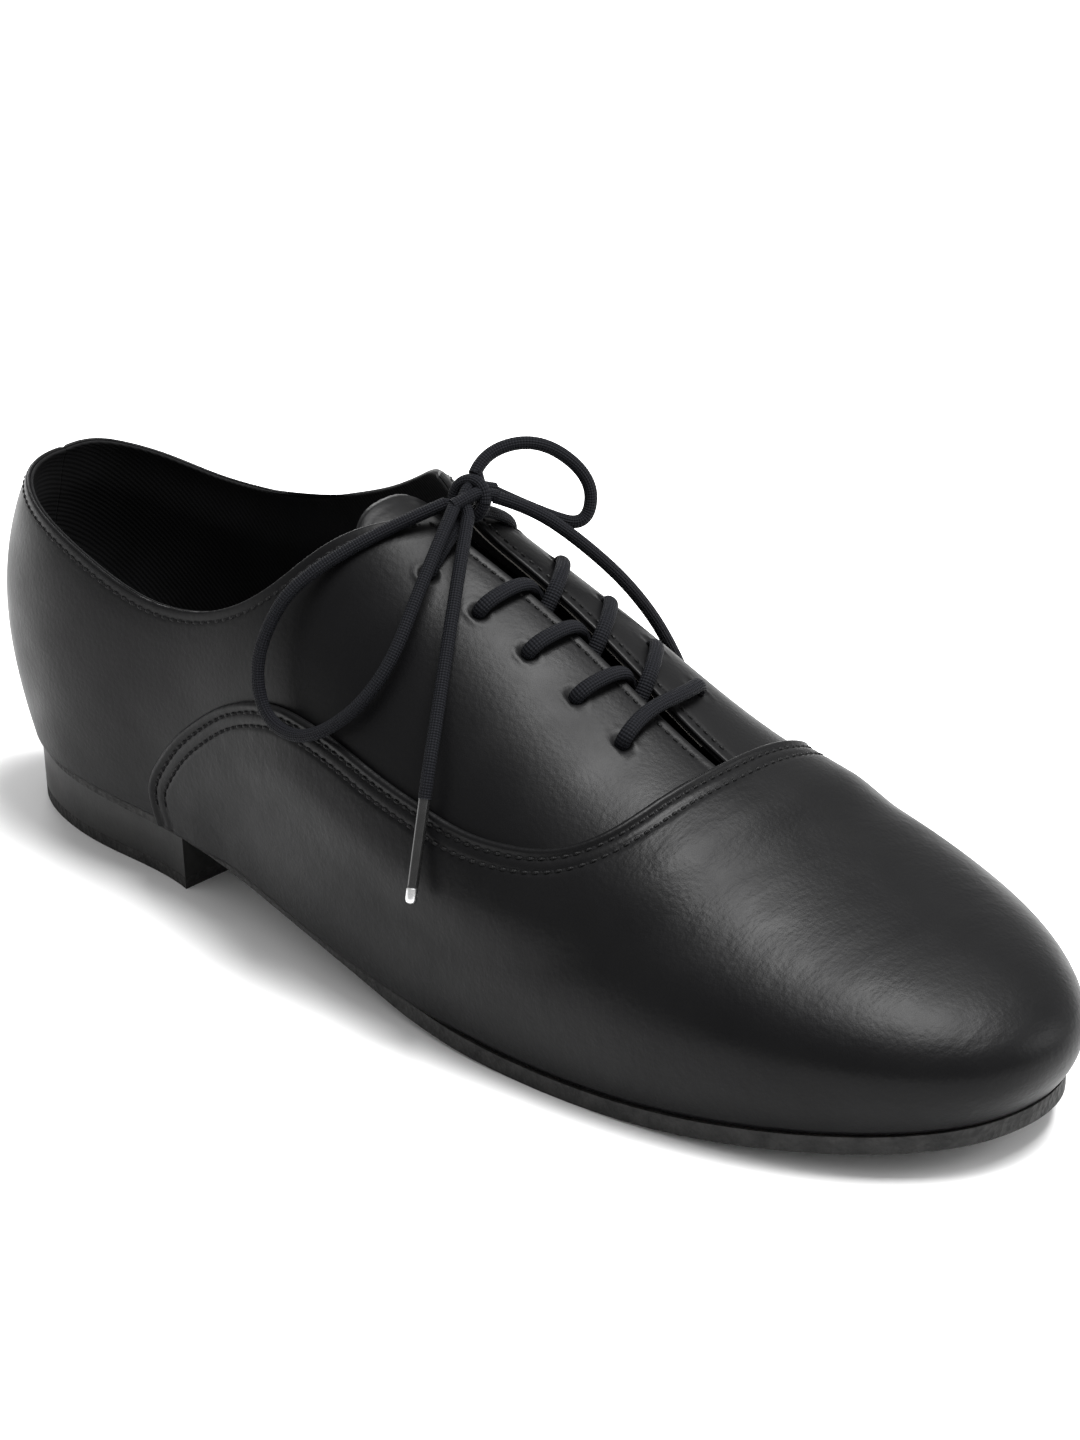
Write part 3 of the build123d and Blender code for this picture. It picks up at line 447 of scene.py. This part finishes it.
def closed_sheet(grid, outer, inner):
    """Points and faces of a closed sheet between two lifts above the grid."""
    rows, columns = grid.shape[:2]
    normal = last_normal(grid)
    faces = [grid_faces(rows, columns)]
    count = rows * columns
    faces.append(faces[0][:, ::-1] + count)
    index = np.arange(count).reshape(rows, columns)
    rim = np.concatenate([index[:, 0], index[-1, 1:], index[-2::-1, -1], index[0, -2:0:-1]])
    after = np.roll(rim, -1)
    faces.append(np.stack([rim, rim + count, after + count, after], -1))
    points = np.concatenate([(grid + np.asarray(lift)[..., None] * normal).reshape(-1, 3)
                             for lift in (np.broadcast_to(outer, grid.shape[:2]),
                                          np.broadcast_to(inner, grid.shape[:2]))])
    faces = np.concatenate(faces)
    a, b, c = (grid[rows // 2 + di, columns // 2 + dj] for di, dj in ((0, 0), (1, 0), (0, 1)))
    if np.cross(b - a, c - a) @ normal[rows // 2, columns // 2] < 0:
        faces = faces[:, ::-1]
    return points, faces


def rolled(distance, half):
    """Half thickness of a sheet near its rounded edge."""
    inside = np.clip(distance / half, 0.02, 1)
    return half * np.sqrt(1 - (1 - inside)**2)


def sewn_edge(distance, seams):
    """Relief of a folded edge: a soft bead and a groove along every seam."""
    relief = BEAD * np.exp(-((distance - BEAD_AT) / BEAD_WIDTH)**2)
    for seam in seams:
        relief = relief - GROOVE * np.exp(-((distance - seam) / GROOVE_WIDTH)**2)
    return relief


def tube(line, radius, up=None, flat=1.0, sides=TUBE_SIDES):
    """Points, faces and UVs of a tube along a line; its section is 'flat' times as high as wide."""
    line = np.asarray(line, float)
    tangent = np.gradient(line, axis=0)
    tangent /= np.linalg.norm(tangent, axis=1, keepdims=True)
    if up is None:
        up = np.empty_like(line)
        guide = np.cross(tangent[0], [0.3, 0.2, 0.93])
        for i, t in enumerate(tangent):
            guide = guide - (guide @ t) * t
            guide /= np.linalg.norm(guide)
            up[i] = guide
    up = up - (up * tangent).sum(1, keepdims=True) * tangent
    up /= np.linalg.norm(up, axis=1, keepdims=True)
    wide = np.cross(tangent, up)
    angle = np.linspace(0, 2 * math.pi, sides, endpoint=False)
    radius = np.broadcast_to(radius, len(line))[:, None, None]
    flat = np.broadcast_to(flat, len(line))[:, None, None]
    ring = radius * (np.cos(angle)[None, :, None] * wide[:, None] / np.sqrt(flat)
                     + np.sin(angle)[None, :, None] * up[:, None] * np.sqrt(flat))
    points = (line[:, None] + ring).reshape(-1, 3)
    faces = [tuple(f) for f in grid_faces(len(line), sides, wrap=True)[:, ::-1]]
    faces += [tuple(range(sides)), tuple(len(points) - 1 - np.arange(sides))]
    along = lengths_along(line)
    uv = np.stack(np.meshgrid(along / 10, angle / (2 * math.pi), indexing="ij"), -1).reshape(-1, 2)
    return points, faces, uv


def joined(parts):
    """Several point, face and UV sets as one."""
    points, faces, uvs, start = [], [], [], 0
    for one, polygons, uv in parts:
        points.append(one)
        faces += [tuple(i + start for i in f) for f in polygons]
        uvs.append(uv)
        start += len(one)
    return np.concatenate(points), faces, np.concatenate(uvs)


def route_line(route, order=3):
    """Dense points, in mm, of the NURBS spline that has the route as its control points."""
    curve = bpy.data.curves.new("route", "CURVE")
    curve.dimensions = "3D"
    curve.resolution_u = 24
    spline = curve.splines.new("NURBS")
    spline.points.add(len(route) - 1)
    for point, place in zip(spline.points, to_scene(route)):
        point.co = (*place, 1)
    spline.order_u = order
    spline.use_endpoint_u = True
    carrier = bpy.data.objects.new("route", curve)
    mesh = bpy.data.meshes.new_from_object(carrier)
    points = np.array([v.co[:] for v in mesh.vertices]) * 1000 + [ORIGIN_X, 0, 0]
    bpy.data.objects.remove(carrier)
    bpy.data.meshes.remove(mesh)
    return even(points, max(12, int(lengths_along(points)[-1] / 0.4)))


# ---------------------------------------------------------------- materials
class Nodes:
    """Short way to write a node tree for a Principled material."""

    def __init__(self, name):
        self.material = bpy.data.materials.new(name)
        self.material.use_nodes = True
        self.tree = self.material.node_tree
        self.shader = self.tree.nodes["Principled BSDF"]
        self.coordinates = self.tree.nodes.new("ShaderNodeTexCoord")

    def link(self, source, target):
        self.tree.links.new(source, target)

    def add(self, kind, inputs=(), **settings):
        node = self.tree.nodes.new(kind)
        for key, value in settings.items():
            setattr(node, key, value)
        for key, value in dict(inputs).items():
            if hasattr(value, "is_output"):
                self.link(value, node.inputs[key])
            else:
                node.inputs[key].default_value = value
        return node

    def place(self, scale=(1, 1, 1)):
        return self.add("ShaderNodeMapping", {"Vector": self.coordinates.outputs["Object"],
                                              "Scale": scale}).outputs["Vector"]

    def noise(self, scale, detail=4.0, stretch=(1, 1, 1), roughness=0.5):
        return self.add("ShaderNodeTexNoise", {"Vector": self.place(stretch), "Scale": scale,
                                               "Detail": detail, "Roughness": roughness}).outputs["Fac"]

    def cells(self, scale, feature="SMOOTH_F1", stretch=(1, 1, 1)):
        return self.add("ShaderNodeTexVoronoi", {"Vector": self.place(stretch), "Scale": scale},
                        feature=feature).outputs["Distance"]

    def math(self, operation, first, second=0.0):
        return self.add("ShaderNodeMath", {0: first, 1: second}, operation=operation).outputs["Value"]

    def span(self, value, low, high, start=0.0, end=1.0):
        return self.add("ShaderNodeMapRange", {"Value": value, "From Min": start, "From Max": end,
                                               "To Min": low, "To Max": high}).outputs["Result"]

    def ramp(self, value, *stops):
        node = self.add("ShaderNodeValToRGB", {"Fac": value})
        while len(node.color_ramp.elements) < len(stops):
            node.color_ramp.elements.new(0.5)
        for element, (place, colour) in zip(node.color_ramp.elements, stops):
            element.position, element.color = place, (*colour, 1)
        return node.outputs["Color"]

    def bump(self, height, distance, strength=1.0, below=None):
        inputs = {"Height": height, "Distance": distance, "Strength": strength}
        if below is not None:
            inputs["Normal"] = below
        return self.add("ShaderNodeBump", inputs).outputs["Normal"]

    def set(self, **values):
        for key, value in values.items():
            socket = self.shader.inputs[key.replace("_", " ")]
            if hasattr(value, "is_output"):
                self.link(value, socket)
            else:
                socket.default_value = value
        return self.material


def leather_material(name, creases):
    """Smooth black calf: fine pores, faint mottling and, on the vamp, walking creases."""
    n = Nodes(name)
    mottle = n.noise(26, 5)
    pores = n.cells(900)
    fine = n.noise(2600, 3)
    normal = n.bump(pores, 0.00012, 0.32)
    normal = n.bump(fine, 0.00006, 0.45, normal)
    normal = n.bump(n.noise(120, 3), 0.0006, 0.07, normal)
    if creases:
        wrinkle = n.noise(70, 4, (2.2, 0.5, 1.6), 0.62)
        normal = n.bump(n.math("POWER", wrinkle, 2.0), 0.0022, creases, normal)
    colour = n.ramp(mottle, (0.25, (0.0022, 0.0022, 0.0025)), (0.8, (0.0042, 0.0042, 0.0044)))
    return n.set(Base_Color=colour, Roughness=n.span(n.noise(60, 4), 0.34, 0.46, 0.3, 0.7),
                 Normal=normal, Specular_IOR_Level=0.09)


def lining_material():
    """Matte black lining with a fine twill."""
    n = Nodes("lining")
    twill = n.add("ShaderNodeTexWave", {"Vector": n.place((1, 0.5, 1)), "Scale": 420.0, "Distortion": 1.5,
                                        "Detail": 2.0}, wave_type="BANDS", bands_direction="DIAGONAL")
    normal = n.bump(twill.outputs["Fac"], 0.00012, 0.5)
    colour = n.ramp(n.noise(90, 4), (0.3, (0.0022, 0.0022, 0.0024)), (0.75, (0.0045, 0.0045, 0.005)))
    return n.set(Base_Color=colour, Roughness=n.span(n.noise(300, 3), 0.78, 0.95), Normal=normal,
                 Specular_IOR_Level=0.12)


def sole_material():
    """Rough black sole with a coarse pressed grain."""
    n = Nodes("sole")
    grain = n.cells(620, "F1")
    normal = n.bump(grain, 0.0005, 0.8)
    normal = n.bump(n.noise(1800, 3), 0.0002, 0.6, normal)
    colour = n.ramp(n.noise(240, 5), (0.3, (0.006, 0.006, 0.006)), (0.75, (0.02, 0.0195, 0.019)))
    return n.set(Base_Color=colour, Roughness=n.span(n.noise(200, 3), 0.62, 0.9), Normal=normal,
                 Specular_IOR_Level=0.3)


def heel_material():
    """Painted stacked heel: satin black with faint layers."""
    n = Nodes("heel")
    layers = n.add("ShaderNodeTexWave", {"Vector": n.place(), "Scale": 52.0, "Distortion": 0.6,
                                         "Detail": 2.0}, wave_type="BANDS", bands_direction="Z")
    normal = n.bump(layers.outputs["Fac"], 0.00012, 0.35)
    normal = n.bump(n.noise(900, 4), 0.0001, 0.5, normal)
    colour = n.ramp(n.noise(70, 4), (0.3, (0.004, 0.004, 0.004)), (0.75, (0.009, 0.0088, 0.0085)))
    return n.set(Base_Color=colour, Roughness=n.span(n.noise(160, 4), 0.34, 0.55), Normal=normal,
                 Specular_IOR_Level=0.3)


def lace_material():
    """Round braid: two families of yarns that cross, from the tube's own UVs; its colour is painted shade,
    darker in the weave's hollows than on its crests.
    """
    n = Nodes("lace")
    split = n.add("ShaderNodeSeparateXYZ", {"Vector": n.coordinates.outputs["UV"]})
    along = n.math("MULTIPLY", split.outputs["X"], 2 * math.pi * 8)
    around = n.math("MULTIPLY", split.outputs["Y"], 2 * math.pi * 8)
    one = n.math("SINE", n.math("ADD", around, along))
    other = n.math("SINE", n.math("SUBTRACT", around, along))
    weave = n.math("MULTIPLY", one, other)
    yarn = n.math("SINE", n.math("MULTIPLY", n.math("ADD", around, n.math("MULTIPLY", along, 3.0)), 4.0))
    normal = n.bump(weave, 0.0002, 0.8)
    normal = n.bump(yarn, 0.00004, 0.4, normal)
    # Base colour follows the weave height: painted shade in the braid's hollows, lighter on its crests.
    return n.set(Base_Color=n.ramp(n.span(weave, 0, 1, -1, 1), (0.1, (0.001, 0.0011, 0.002)),
                                   (0.9, (0.0032, 0.0037, 0.006))),
                 Roughness=n.span(weave, 0.85, 0.6, -1, 1), Normal=normal, Specular_IOR_Level=0.12)


def thread_material():
    """Waxed black thread with its twist."""
    n = Nodes("thread")
    twist = n.add("ShaderNodeTexWave", {"Vector": n.place(), "Scale": 1100.0, "Distortion": 1.0},
                  wave_type="BANDS", bands_direction="DIAGONAL")
    colour = n.ramp(n.noise(500, 2), (0.3, (0.0016, 0.0016, 0.0018)), (0.8, (0.0035, 0.0035, 0.0038)))
    return n.set(Base_Color=colour, Roughness=n.span(n.noise(700, 2), 0.45, 0.6),
                 Normal=n.bump(twist.outputs["Fac"], 0.00008, 0.6), Specular_IOR_Level=0.12)


def gloss_material(name, dark, light, low, high, metallic):
    """Smooth aglet sleeve or tip with fine handling scratches."""
    n = Nodes(name)
    scratches = n.noise(500, 3, (1, 1, 0.15))
    return n.set(Base_Color=n.ramp(n.noise(300, 3), (0.3, dark), (0.8, light)),
                 Roughness=n.span(scratches, low, high), Normal=n.bump(scratches, 0.00003, 0.4),
                 Metallic=metallic)


def hidden_material(name, dark, light):
    """Pressed fibre of the stiffeners and board."""
    n = Nodes(name)
    return n.set(Base_Color=n.ramp(n.noise(400, 5, (1, 0.3, 1)), (0.3, dark), (0.75, light)),
                 Roughness=n.span(n.noise(300, 3), 0.8, 0.95), Normal=n.bump(n.noise(1200, 3), 0.0002, 0.6))


def floor_material():
    """Pale studio sweep with the faintest mottling."""
    n = Nodes("floor")
    return n.set(Base_Color=n.ramp(n.noise(3, 3), (0.3, (0.9, 0.9, 0.9)), (0.7, (0.93, 0.93, 0.93))),
                 Roughness=n.span(n.noise(8, 2), 0.7, 0.8))


LEATHER = leather_material("leather", 0.0)
VAMP_LEATHER = leather_material("vamp_leather", 0.12)
LINING, SOLE, HEEL, LACE, THREAD = (make() for make in (lining_material, sole_material, heel_material,
                                                        lace_material, thread_material))
SLEEVE = gloss_material("aglet_sleeve", (0.006, 0.006, 0.006), (0.012, 0.012, 0.012), 0.12, 0.28, 0.0)
TIP = gloss_material("aglet_tip", (0.55, 0.55, 0.56), (0.7, 0.7, 0.7), 0.2, 0.35, 1.0)
STEEL = gloss_material("steel", (0.4, 0.4, 0.4), (0.55, 0.55, 0.55), 0.3, 0.5, 1.0)
BOARD = hidden_material("board", (0.26, 0.17, 0.1), (0.36, 0.26, 0.16))
STIFFENER = hidden_material("stiffener", (0.36, 0.34, 0.31), (0.5, 0.48, 0.44))


# ---------------------------------------------------------------- upper
def eyelet_x(side, row):
    """Station of an eyelet, row 0 at the toe end."""
    return LAST_ROW_X - EYELET_PITCH * row - (MEDIAL_SKEW if side > 0 else 0)


def eyelet(side, row, lift=0.0):
    """Point on the axis of an eyelet at the given lift above the last."""
    hole = facing_edge(side, eyelet_x(side, row), EYELET_BACK[side])
    return hole + lift * last_normal(hole)


def vamp_pieces():
    """Vamp leather with its folded edge, and its lining."""
    edge = np.concatenate([vamp_edge(side, 1600) for side in (-1, 1)])
    grid = vamp_grid(0.0, finer_at_ends(520, 1.5), finer_at_end(76, 1.8))
    distance = nearest(grid, edge)
    middle = LAP_LIFT * (1 - smoothstep(distance, RAMP_START, RAMP_END)) - LEATHER_T / 2
    half = rolled(distance, LEATHER_T / 2)
    points, faces = closed_sheet(grid, middle + half + sewn_edge(distance, VAMP_STITCHES), middle - half)
    make_object("vamp_leather", points, faces, VAMP_LEATHER, "shoe_body", ["vamp"])
    grid = vamp_grid(LINING_EDGE_GAP, finer_at_ends(160, 1.2), np.linspace(0, 1, 30))
    points, faces = closed_sheet(grid, LINING_LEVEL, LINING_LEVEL - LINING_T)
    make_object("vamp_lining_cloth", points, faces, LINING, "shoe_body", ["vamp_lining"])


def collar_line(side, count=1500):
    """Topline and facing edge of one quarter as one dense line."""
    front = facing_edge(side, np.linspace(FACING_TOP_X[side], FACING_END_X + LAP, 90))
    return np.concatenate([even(topline(side, 800), count), even(front, count)])


def quarter_pieces(name, side):
    """Quarter leather with rolled collar and facing, punched eyelets, and the lining behind it."""
    edge = collar_line(side)
    grid = quarter_grid(side, LAP, finer_at_ends(330, 1.35), finer_at_end(84, 1.6))
    distance = nearest(grid, edge)
    skived = (LEATHER_T / 2 - COLLAR_HALF) * smoothstep(distance, SKIVE_START, SKIVE_END)
    half = rolled(distance, COLLAR_HALF) + skived
    outer = half - LEATHER_T / 2 + COLLAR_RELIEF * sewn_edge(distance, (EDGE_STITCH,))
    for row in range(EYELET_ROWS):
        reach = np.linalg.norm(grid - eyelet(side, row), axis=-1)
        outer += EYELET_RIM * np.exp(-((reach - EYELET_RIM_R) / EYELET_RIM_WIDTH)**2)
        outer -= EYELET_DENT * np.exp(-(reach / EYELET_DENT_R)**4)
    from_back_seam = np.abs(grid[..., 1]) + np.clip(grid[..., 0] - BACK_SEAM_X, 0, None)
    outer -= BACK_SEAM_DEPTH * np.exp(-(from_back_seam / BACK_SEAM_WIDTH)**2)
    points, faces = closed_sheet(grid, outer, -LEATHER_T / 2 - half)
    make_object(f"quarter_leather_{name}", points, faces, LEATHER, "shoe_body",
                [f"quarter_{name}"])
    grid = quarter_grid(side, -LINING_EDGE_GAP, finer_at_ends(150, 1.3), finer_at_end(50, 1.5))
    distance = nearest(grid, edge)
    outer = LINING_TUCK + (LINING_LEVEL - LINING_TUCK) * smoothstep(distance, TUCK_START, TUCK_END)
    middle, half = outer - LINING_T / 2, rolled(distance, LINING_T / 2)
    points, faces = closed_sheet(grid, middle + half, middle - half)
    make_object(f"quarter_lining_cloth_{name}", points, faces, LINING, "shoe_body",
                [f"quarter_lining_{name}"])


def tongue_pieces():
    """Tongue leather and its lining, rounded along their free edges."""
    grid = tongue_grid(90, 41)
    rise = (ROOT_LEVEL - TONGUE_LEVEL) * smoothstep(grid[..., 0], TONGUE_FADE_X, TONGUE_ROOT_X)
    level = TONGUE_LEVEL + rise
    rim = np.concatenate([even(grid[0], 400), even(grid[:, 0], 400), even(grid[:, -1], 400)])
    distance = nearest(grid, rim)
    middle, half = level - TONGUE_T / 2, rolled(distance, TONGUE_T / 2)
    relief = 0.5 * sewn_edge(distance, (TONGUE_SEAM,))
    points, faces = closed_sheet(grid, middle + half + relief, middle - half)
    make_object("tongue_leather", points, faces, LEATHER, "tongue_body", ["tongue"])
    middle = level - TONGUE_T - LAYER_GAP / 2 - TONGUE_LINING_T / 2
    half = rolled(distance, TONGUE_LINING_T / 2)
    points, faces = closed_sheet(grid, middle + half, middle - half)
    make_object("tongue_lining_cloth", points, faces, LINING, "tongue_body",
                ["tongue_lining"])


def sock_piece():
    """Sock lining: dished cloth-covered insole inside the shoe."""
    angle = np.linspace(0, 2 * math.pi, 121)[:-1]
    loop = even(feather_point(np.append(angle, 2 * math.pi)), 121)[:-1]
    tangent = np.roll(loop, -1, axis=0) - np.roll(loop, 1, axis=0)
    outward = np.stack([tangent[:, 1], -tangent[:, 0], 0 * tangent[:, 0]], -1)
    outward /= np.linalg.norm(outward, axis=1, keepdims=True)
    rim = loop - outward * BOARD_INSET
    spine_x = SPINE_X + 105 * np.tanh((rim[:, 0] - SPINE_X) / 95)
    spine = np.stack([spine_x, ridge_y(spine_x) * 0.8, 0 * spine_x], -1)
    share = np.linspace(0, 1, 14)[:, None, None]
    plan = spine + share * (rim - spine)
    top = feather_z(plan[..., 0]) + BOARD_TOP + 0.1 + SOCK_T + 0.5 * share[..., 0]**4
    upper = np.stack([plan[..., 0], plan[..., 1], top], -1)
    lower = upper[-1:] - [0, 0, SOCK_T + 0.5]
    points = np.concatenate([upper, lower]).reshape(-1, 3)
    faces = [tuple(f) for f in grid_faces(len(share) + 1, 120, wrap=True)]
    make_object("sock_cloth", points, faces, LINING, "shoe_body", ["sock_lining"])


# ---------------------------------------------------------------- stitching
def seam(name, line, lift, body):
    """Row of separate stitches along a line on the last."""
    length = lengths_along(line)[-1]
    parts, holes = [], []
    for i in range(int(length / STITCH_PITCH)):
        shares = (i * STITCH_PITCH + np.linspace(0, STITCH_LENGTH, len(STITCH_RISE))) / length
        points = at_shares(line, shares)
        normal = last_normal(points)
        parts.append(tube(points + (lift + STITCH_RISE)[:, None] * normal, THREAD_R * STITCH_GIRTH,
                          up=normal, flat=0.8, sides=7))
        middle = (i * STITCH_PITCH + (STITCH_LENGTH + STITCH_PITCH) / 2) / length
        points = at_shares(line, middle + np.linspace(-0.5, 0.5, len(STITCH_GIRTH)) * HOLE_LENGTH / length)
        holes.append(tube(points + (lift - HOLE_DEPTH) * normal[:1], HOLE_R * STITCH_GIRTH, up=normal,
                          flat=0.5, sides=7))
    points, faces, uv = joined(parts)
    make_object(name, points, faces, THREAD, body, uv=uv)
    points, faces, uv = joined(holes)
    make_object(f"{name}_needle_holes", points, faces, LINING, body, uv=uv)


def stitching():
    """Two seams along the vamp edge, one along each collar and facing."""
    for number, shift in enumerate(VAMP_STITCHES, 1):
        near, far = (vamp_edge(side, 900, shift=shift) for side in (-1, 1))
        keep = near[:, 1] < ridge_y(near[:, 0]), far[:, 1] > ridge_y(far[:, 0])
        line = np.concatenate([near[keep[0]], far[keep[1]][::-1]])[20:-20]
        seam(f"vamp_seam_{number}", line, LAP_LIFT + SEAM_LIFT, "shoe_body")
    for name, side in SIDES.items():
        collar = beside(topline(side, 700), -EDGE_STITCH, -side)
        facing = facing_edge(side, np.linspace(FACING_TOP_X[side] + 1.5, FACING_END_X - 2, 80), EDGE_STITCH)
        reach = np.linalg.norm(collar - facing[0], axis=1)
        collar = collar[4:max(10, int(np.argmin(reach)))]
        seam(f"collar_seam_{name}", collar, SEAM_LIFT, "shoe_body")
        seam(f"facing_seam_{name}", facing, SEAM_LIFT, "shoe_body")


# ---------------------------------------------------------------- laces
def run_over(side, row):
    """Strand that leaves an eyelet, crosses its facing edge and dives below the other facing."""
    x = eyelet_x(side, row)
    edge = facing_edge(side, x + EDGE_SLIDE[side], 0.0)
    dive = facing_edge(-side, x + DIVE_SLIDE[side], 1.0)
    far = eyelet(-side, row - 1)
    return [eyelet(side, row, MID_LEATHER), eyelet(side, row, OVER), edge + OVER * last_normal(edge),
            dive + (UNDER - 0.4) * last_normal(dive), far + UNDER * last_normal(far),
            eyelet(-side, row - 1, MID_LEATHER)]


def bottom_bar():
    """Straight bar across both facings at the toe end."""
    middle = across_last(np.full(2, LAST_ROW_X - 2.0), np.array([-6.0, 6.0]))
    middle = middle + (OVER + 0.2) * last_normal(middle)
    return [eyelet(-1, 0, MID_LEATHER), eyelet(-1, 0, OVER), *middle, eyelet(1, 0, OVER),
            eyelet(1, 0, MID_LEATHER)]


def side_run(side):
    """Strand below one facing between its two uppermost eyelets."""
    low, top = EYELET_ROWS - 2, EYELET_ROWS - 1
    return [eyelet(side, low, MID_LEATHER), eyelet(side, low, UNDER), eyelet(side, top, UNDER),
            eyelet(side, top, MID_LEATHER)]


def knot_exit(direction, reach):
    """Point at the given distance from the knot centre along an exit direction."""
    direction = np.array(direction) / np.linalg.norm(direction)
    return np.array(KNOT_CENTRE) + reach * direction


def top_run(side):
    """Strand from the first eyelet up to the knot."""
    top = EYELET_ROWS - 1
    return [eyelet(side, top, MID_LEATHER), eyelet(side, top, OVER), knot_exit(TO_EYELET[side], KNOT_FACET)]


def eyelet_strands():
    """The laced part of the cord, strand by strand, flattened where it lies on the leather."""
    parts = []
    routes = [bottom_bar(), side_run(-1), side_run(1)]
    routes += [run_over(side, row) for row in range(1, EYELET_ROWS - 1) for side in (-1, 1)]
    routes += [top_run(-1), top_run(1)]
    for route in routes:
        line = route_line(route)
        parts.append(tube(line, LACE_R, up=last_normal(line), flat=LACE_FLAT))
    points, faces, uv = joined(parts)
    make_object("lace_strands", points, faces, LACE, "shoe_body",
                ["lace_through_eyelets"], uv)


def knot_strands():
    """Bow knot of real strands: two crossed at the base, one wrapped round the middle."""
    parts = []
    for start, offsets, end in KNOT_STRANDS:
        route = [knot_exit(start, KNOT_LEG), *np.add(KNOT_CENTRE, offsets), knot_exit(end, KNOT_LEG)]
        parts.append(tube(route_line(route), KNOT_CORD_R))
    turn = np.linspace(0, 2 * math.pi, 60)
    ring = np.stack([np.cos(turn), np.sin(turn + KNOT_WRAP_LEAN), np.sin(turn)], -1)
    parts.append(tube(np.array(KNOT_CENTRE) + KNOT_WRAP * ring, KNOT_CORD_R))
    points, faces, uv = joined(parts)
    make_object("lace_knot_strands", points, faces, LACE, "shoe_body", ["lace_knot"], uv)


def free_cord(name, node, route, with_pieces=()):
    """Loop or loose end of the lace, as a tube along its route."""
    line = route_line(route)
    points, faces, uv = tube(line, LACE_R)
    piece = make_object(name, points, faces, LACE, "shoe_body", [node], uv)


def aglet(name, side):
    """Sleeve with a small metal tip on one end of the lace."""
    before, end = (np.array(p) for p in ENDS[side][-2:])
    axis = (end - before) / np.linalg.norm(end - before)
    reach, radius = np.array(AGLET_PROFILE).T
    line = end + (reach[:, None] + AGLET_START) * axis
    points, faces, uv = tube(line, radius, up=np.tile([0.0, 0.3, 1.0], (len(line), 1)))
    piece = make_object(f"aglet_sleeve_{name}", points, faces, [SLEEVE, TIP], "shoe_body",
                        [f"aglet_{name}"], uv)
    first_tip_vertex = (len(line) - AGLET_TIP_POINTS) * TUBE_SIDES
    for polygon in piece.data.polygons:
        if min(polygon.vertices) >= first_tip_vertex:
            polygon.material_index = 1
    return piece


def laces():
    """Everything of the lace."""
    eyelet_strands()
    knot_strands()
    for name, side in SIDES.items():
        leave, arrive = LOOP_EXITS[side]
        loop = [knot_exit(leave, KNOT_FACET), *LOOPS[side], knot_exit(arrive, KNOT_FACET)]
        free_cord(f"bow_loop_{name}", f"lace_loop_{name}", loop)
        end = [knot_exit(END_EXITS[side], KNOT_FACET), *ENDS[side]]
        free_cord(f"loose_end_{name}", f"lace_end_{name}", end, [aglet(name, side)])


# ---------------------------------------------------------------- carried-over CAD nodes
def finish_nodes():
    """Materials of the CAD nodes that stay."""
    looks = {"outsole": SOLE, "heel_block": HEEL, "heel_top_lift": SOLE, "heel_nails": STEEL,
             "insole_board": BOARD, "shank": STEEL, "toe_puff": STIFFENER, "heel_counter": STIFFENER,
             "facing_stay_lateral": STIFFENER, "facing_stay_medial": STIFFENER}
    for node, material in looks.items():
        for slot in bpy.data.objects[node].material_slots:
            slot.material = material


# ---------------------------------------------------------------- studio
def studio():
    """Pale floor, soft lights and the camera."""
    mesh = bpy.data.meshes.new("floor")
    mesh.from_pydata([(-6, -6, 0), (6, -6, 0), (6, 6, 0), (-6, 6, 0)], [], [(0, 1, 2, 3)])
    mesh.materials.append(floor_material())
    floor = bpy.data.objects.new("floor", mesh)
    bpy.context.scene.collection.objects.link(floor)
    world = bpy.data.worlds.new("world")
    world.use_nodes = True
    world.node_tree.nodes["Background"].inputs["Color"].default_value = (1, 1, 1, 1)
    world.node_tree.nodes["Background"].inputs["Strength"].default_value = WORLD_STRENGTH
    bpy.context.scene.world = world
    for name, place, size, power in LIGHTS:
        light = bpy.data.lights.new(name, "AREA")
        light.size, light.energy = size, power
        lamp = bpy.data.objects.new(name, light)
        lamp.location = place
        lamp.rotation_euler = (Vector(place) - Vector(LIGHT_TARGET)).to_track_quat("Z", "Y").to_euler()
        bpy.context.scene.collection.objects.link(lamp)
    azimuth, elevation = math.radians(CAMERA_AZIMUTH), math.radians(CAMERA_ELEVATION)
    back = Vector((math.sin(azimuth) * math.cos(elevation), -math.cos(azimuth) * math.cos(elevation),
                   math.sin(elevation)))
    right = Vector((math.cos(azimuth), math.sin(azimuth), 0))
    camera = bpy.data.objects.new("camera", bpy.data.cameras.new("camera"))
    camera.data.lens, camera.data.sensor_width = CAMERA_LENS, CAMERA_SENSOR
    turn = Matrix([right, back.cross(right), back]).transposed().to_4x4()
    camera.matrix_world = Matrix.Translation(Vector(CAMERA_TARGET) + CAMERA_DISTANCE * back) @ turn
    bpy.context.scene.collection.objects.link(camera)
    bpy.context.scene.camera = camera
    bpy.context.scene.view_settings.view_transform = "Standard"


studio()
laces()
vamp_pieces()
for side_name, side_sign in SIDES.items():
    quarter_pieces(side_name, side_sign)
tongue_pieces()
sock_piece()
stitching()
finish_nodes()
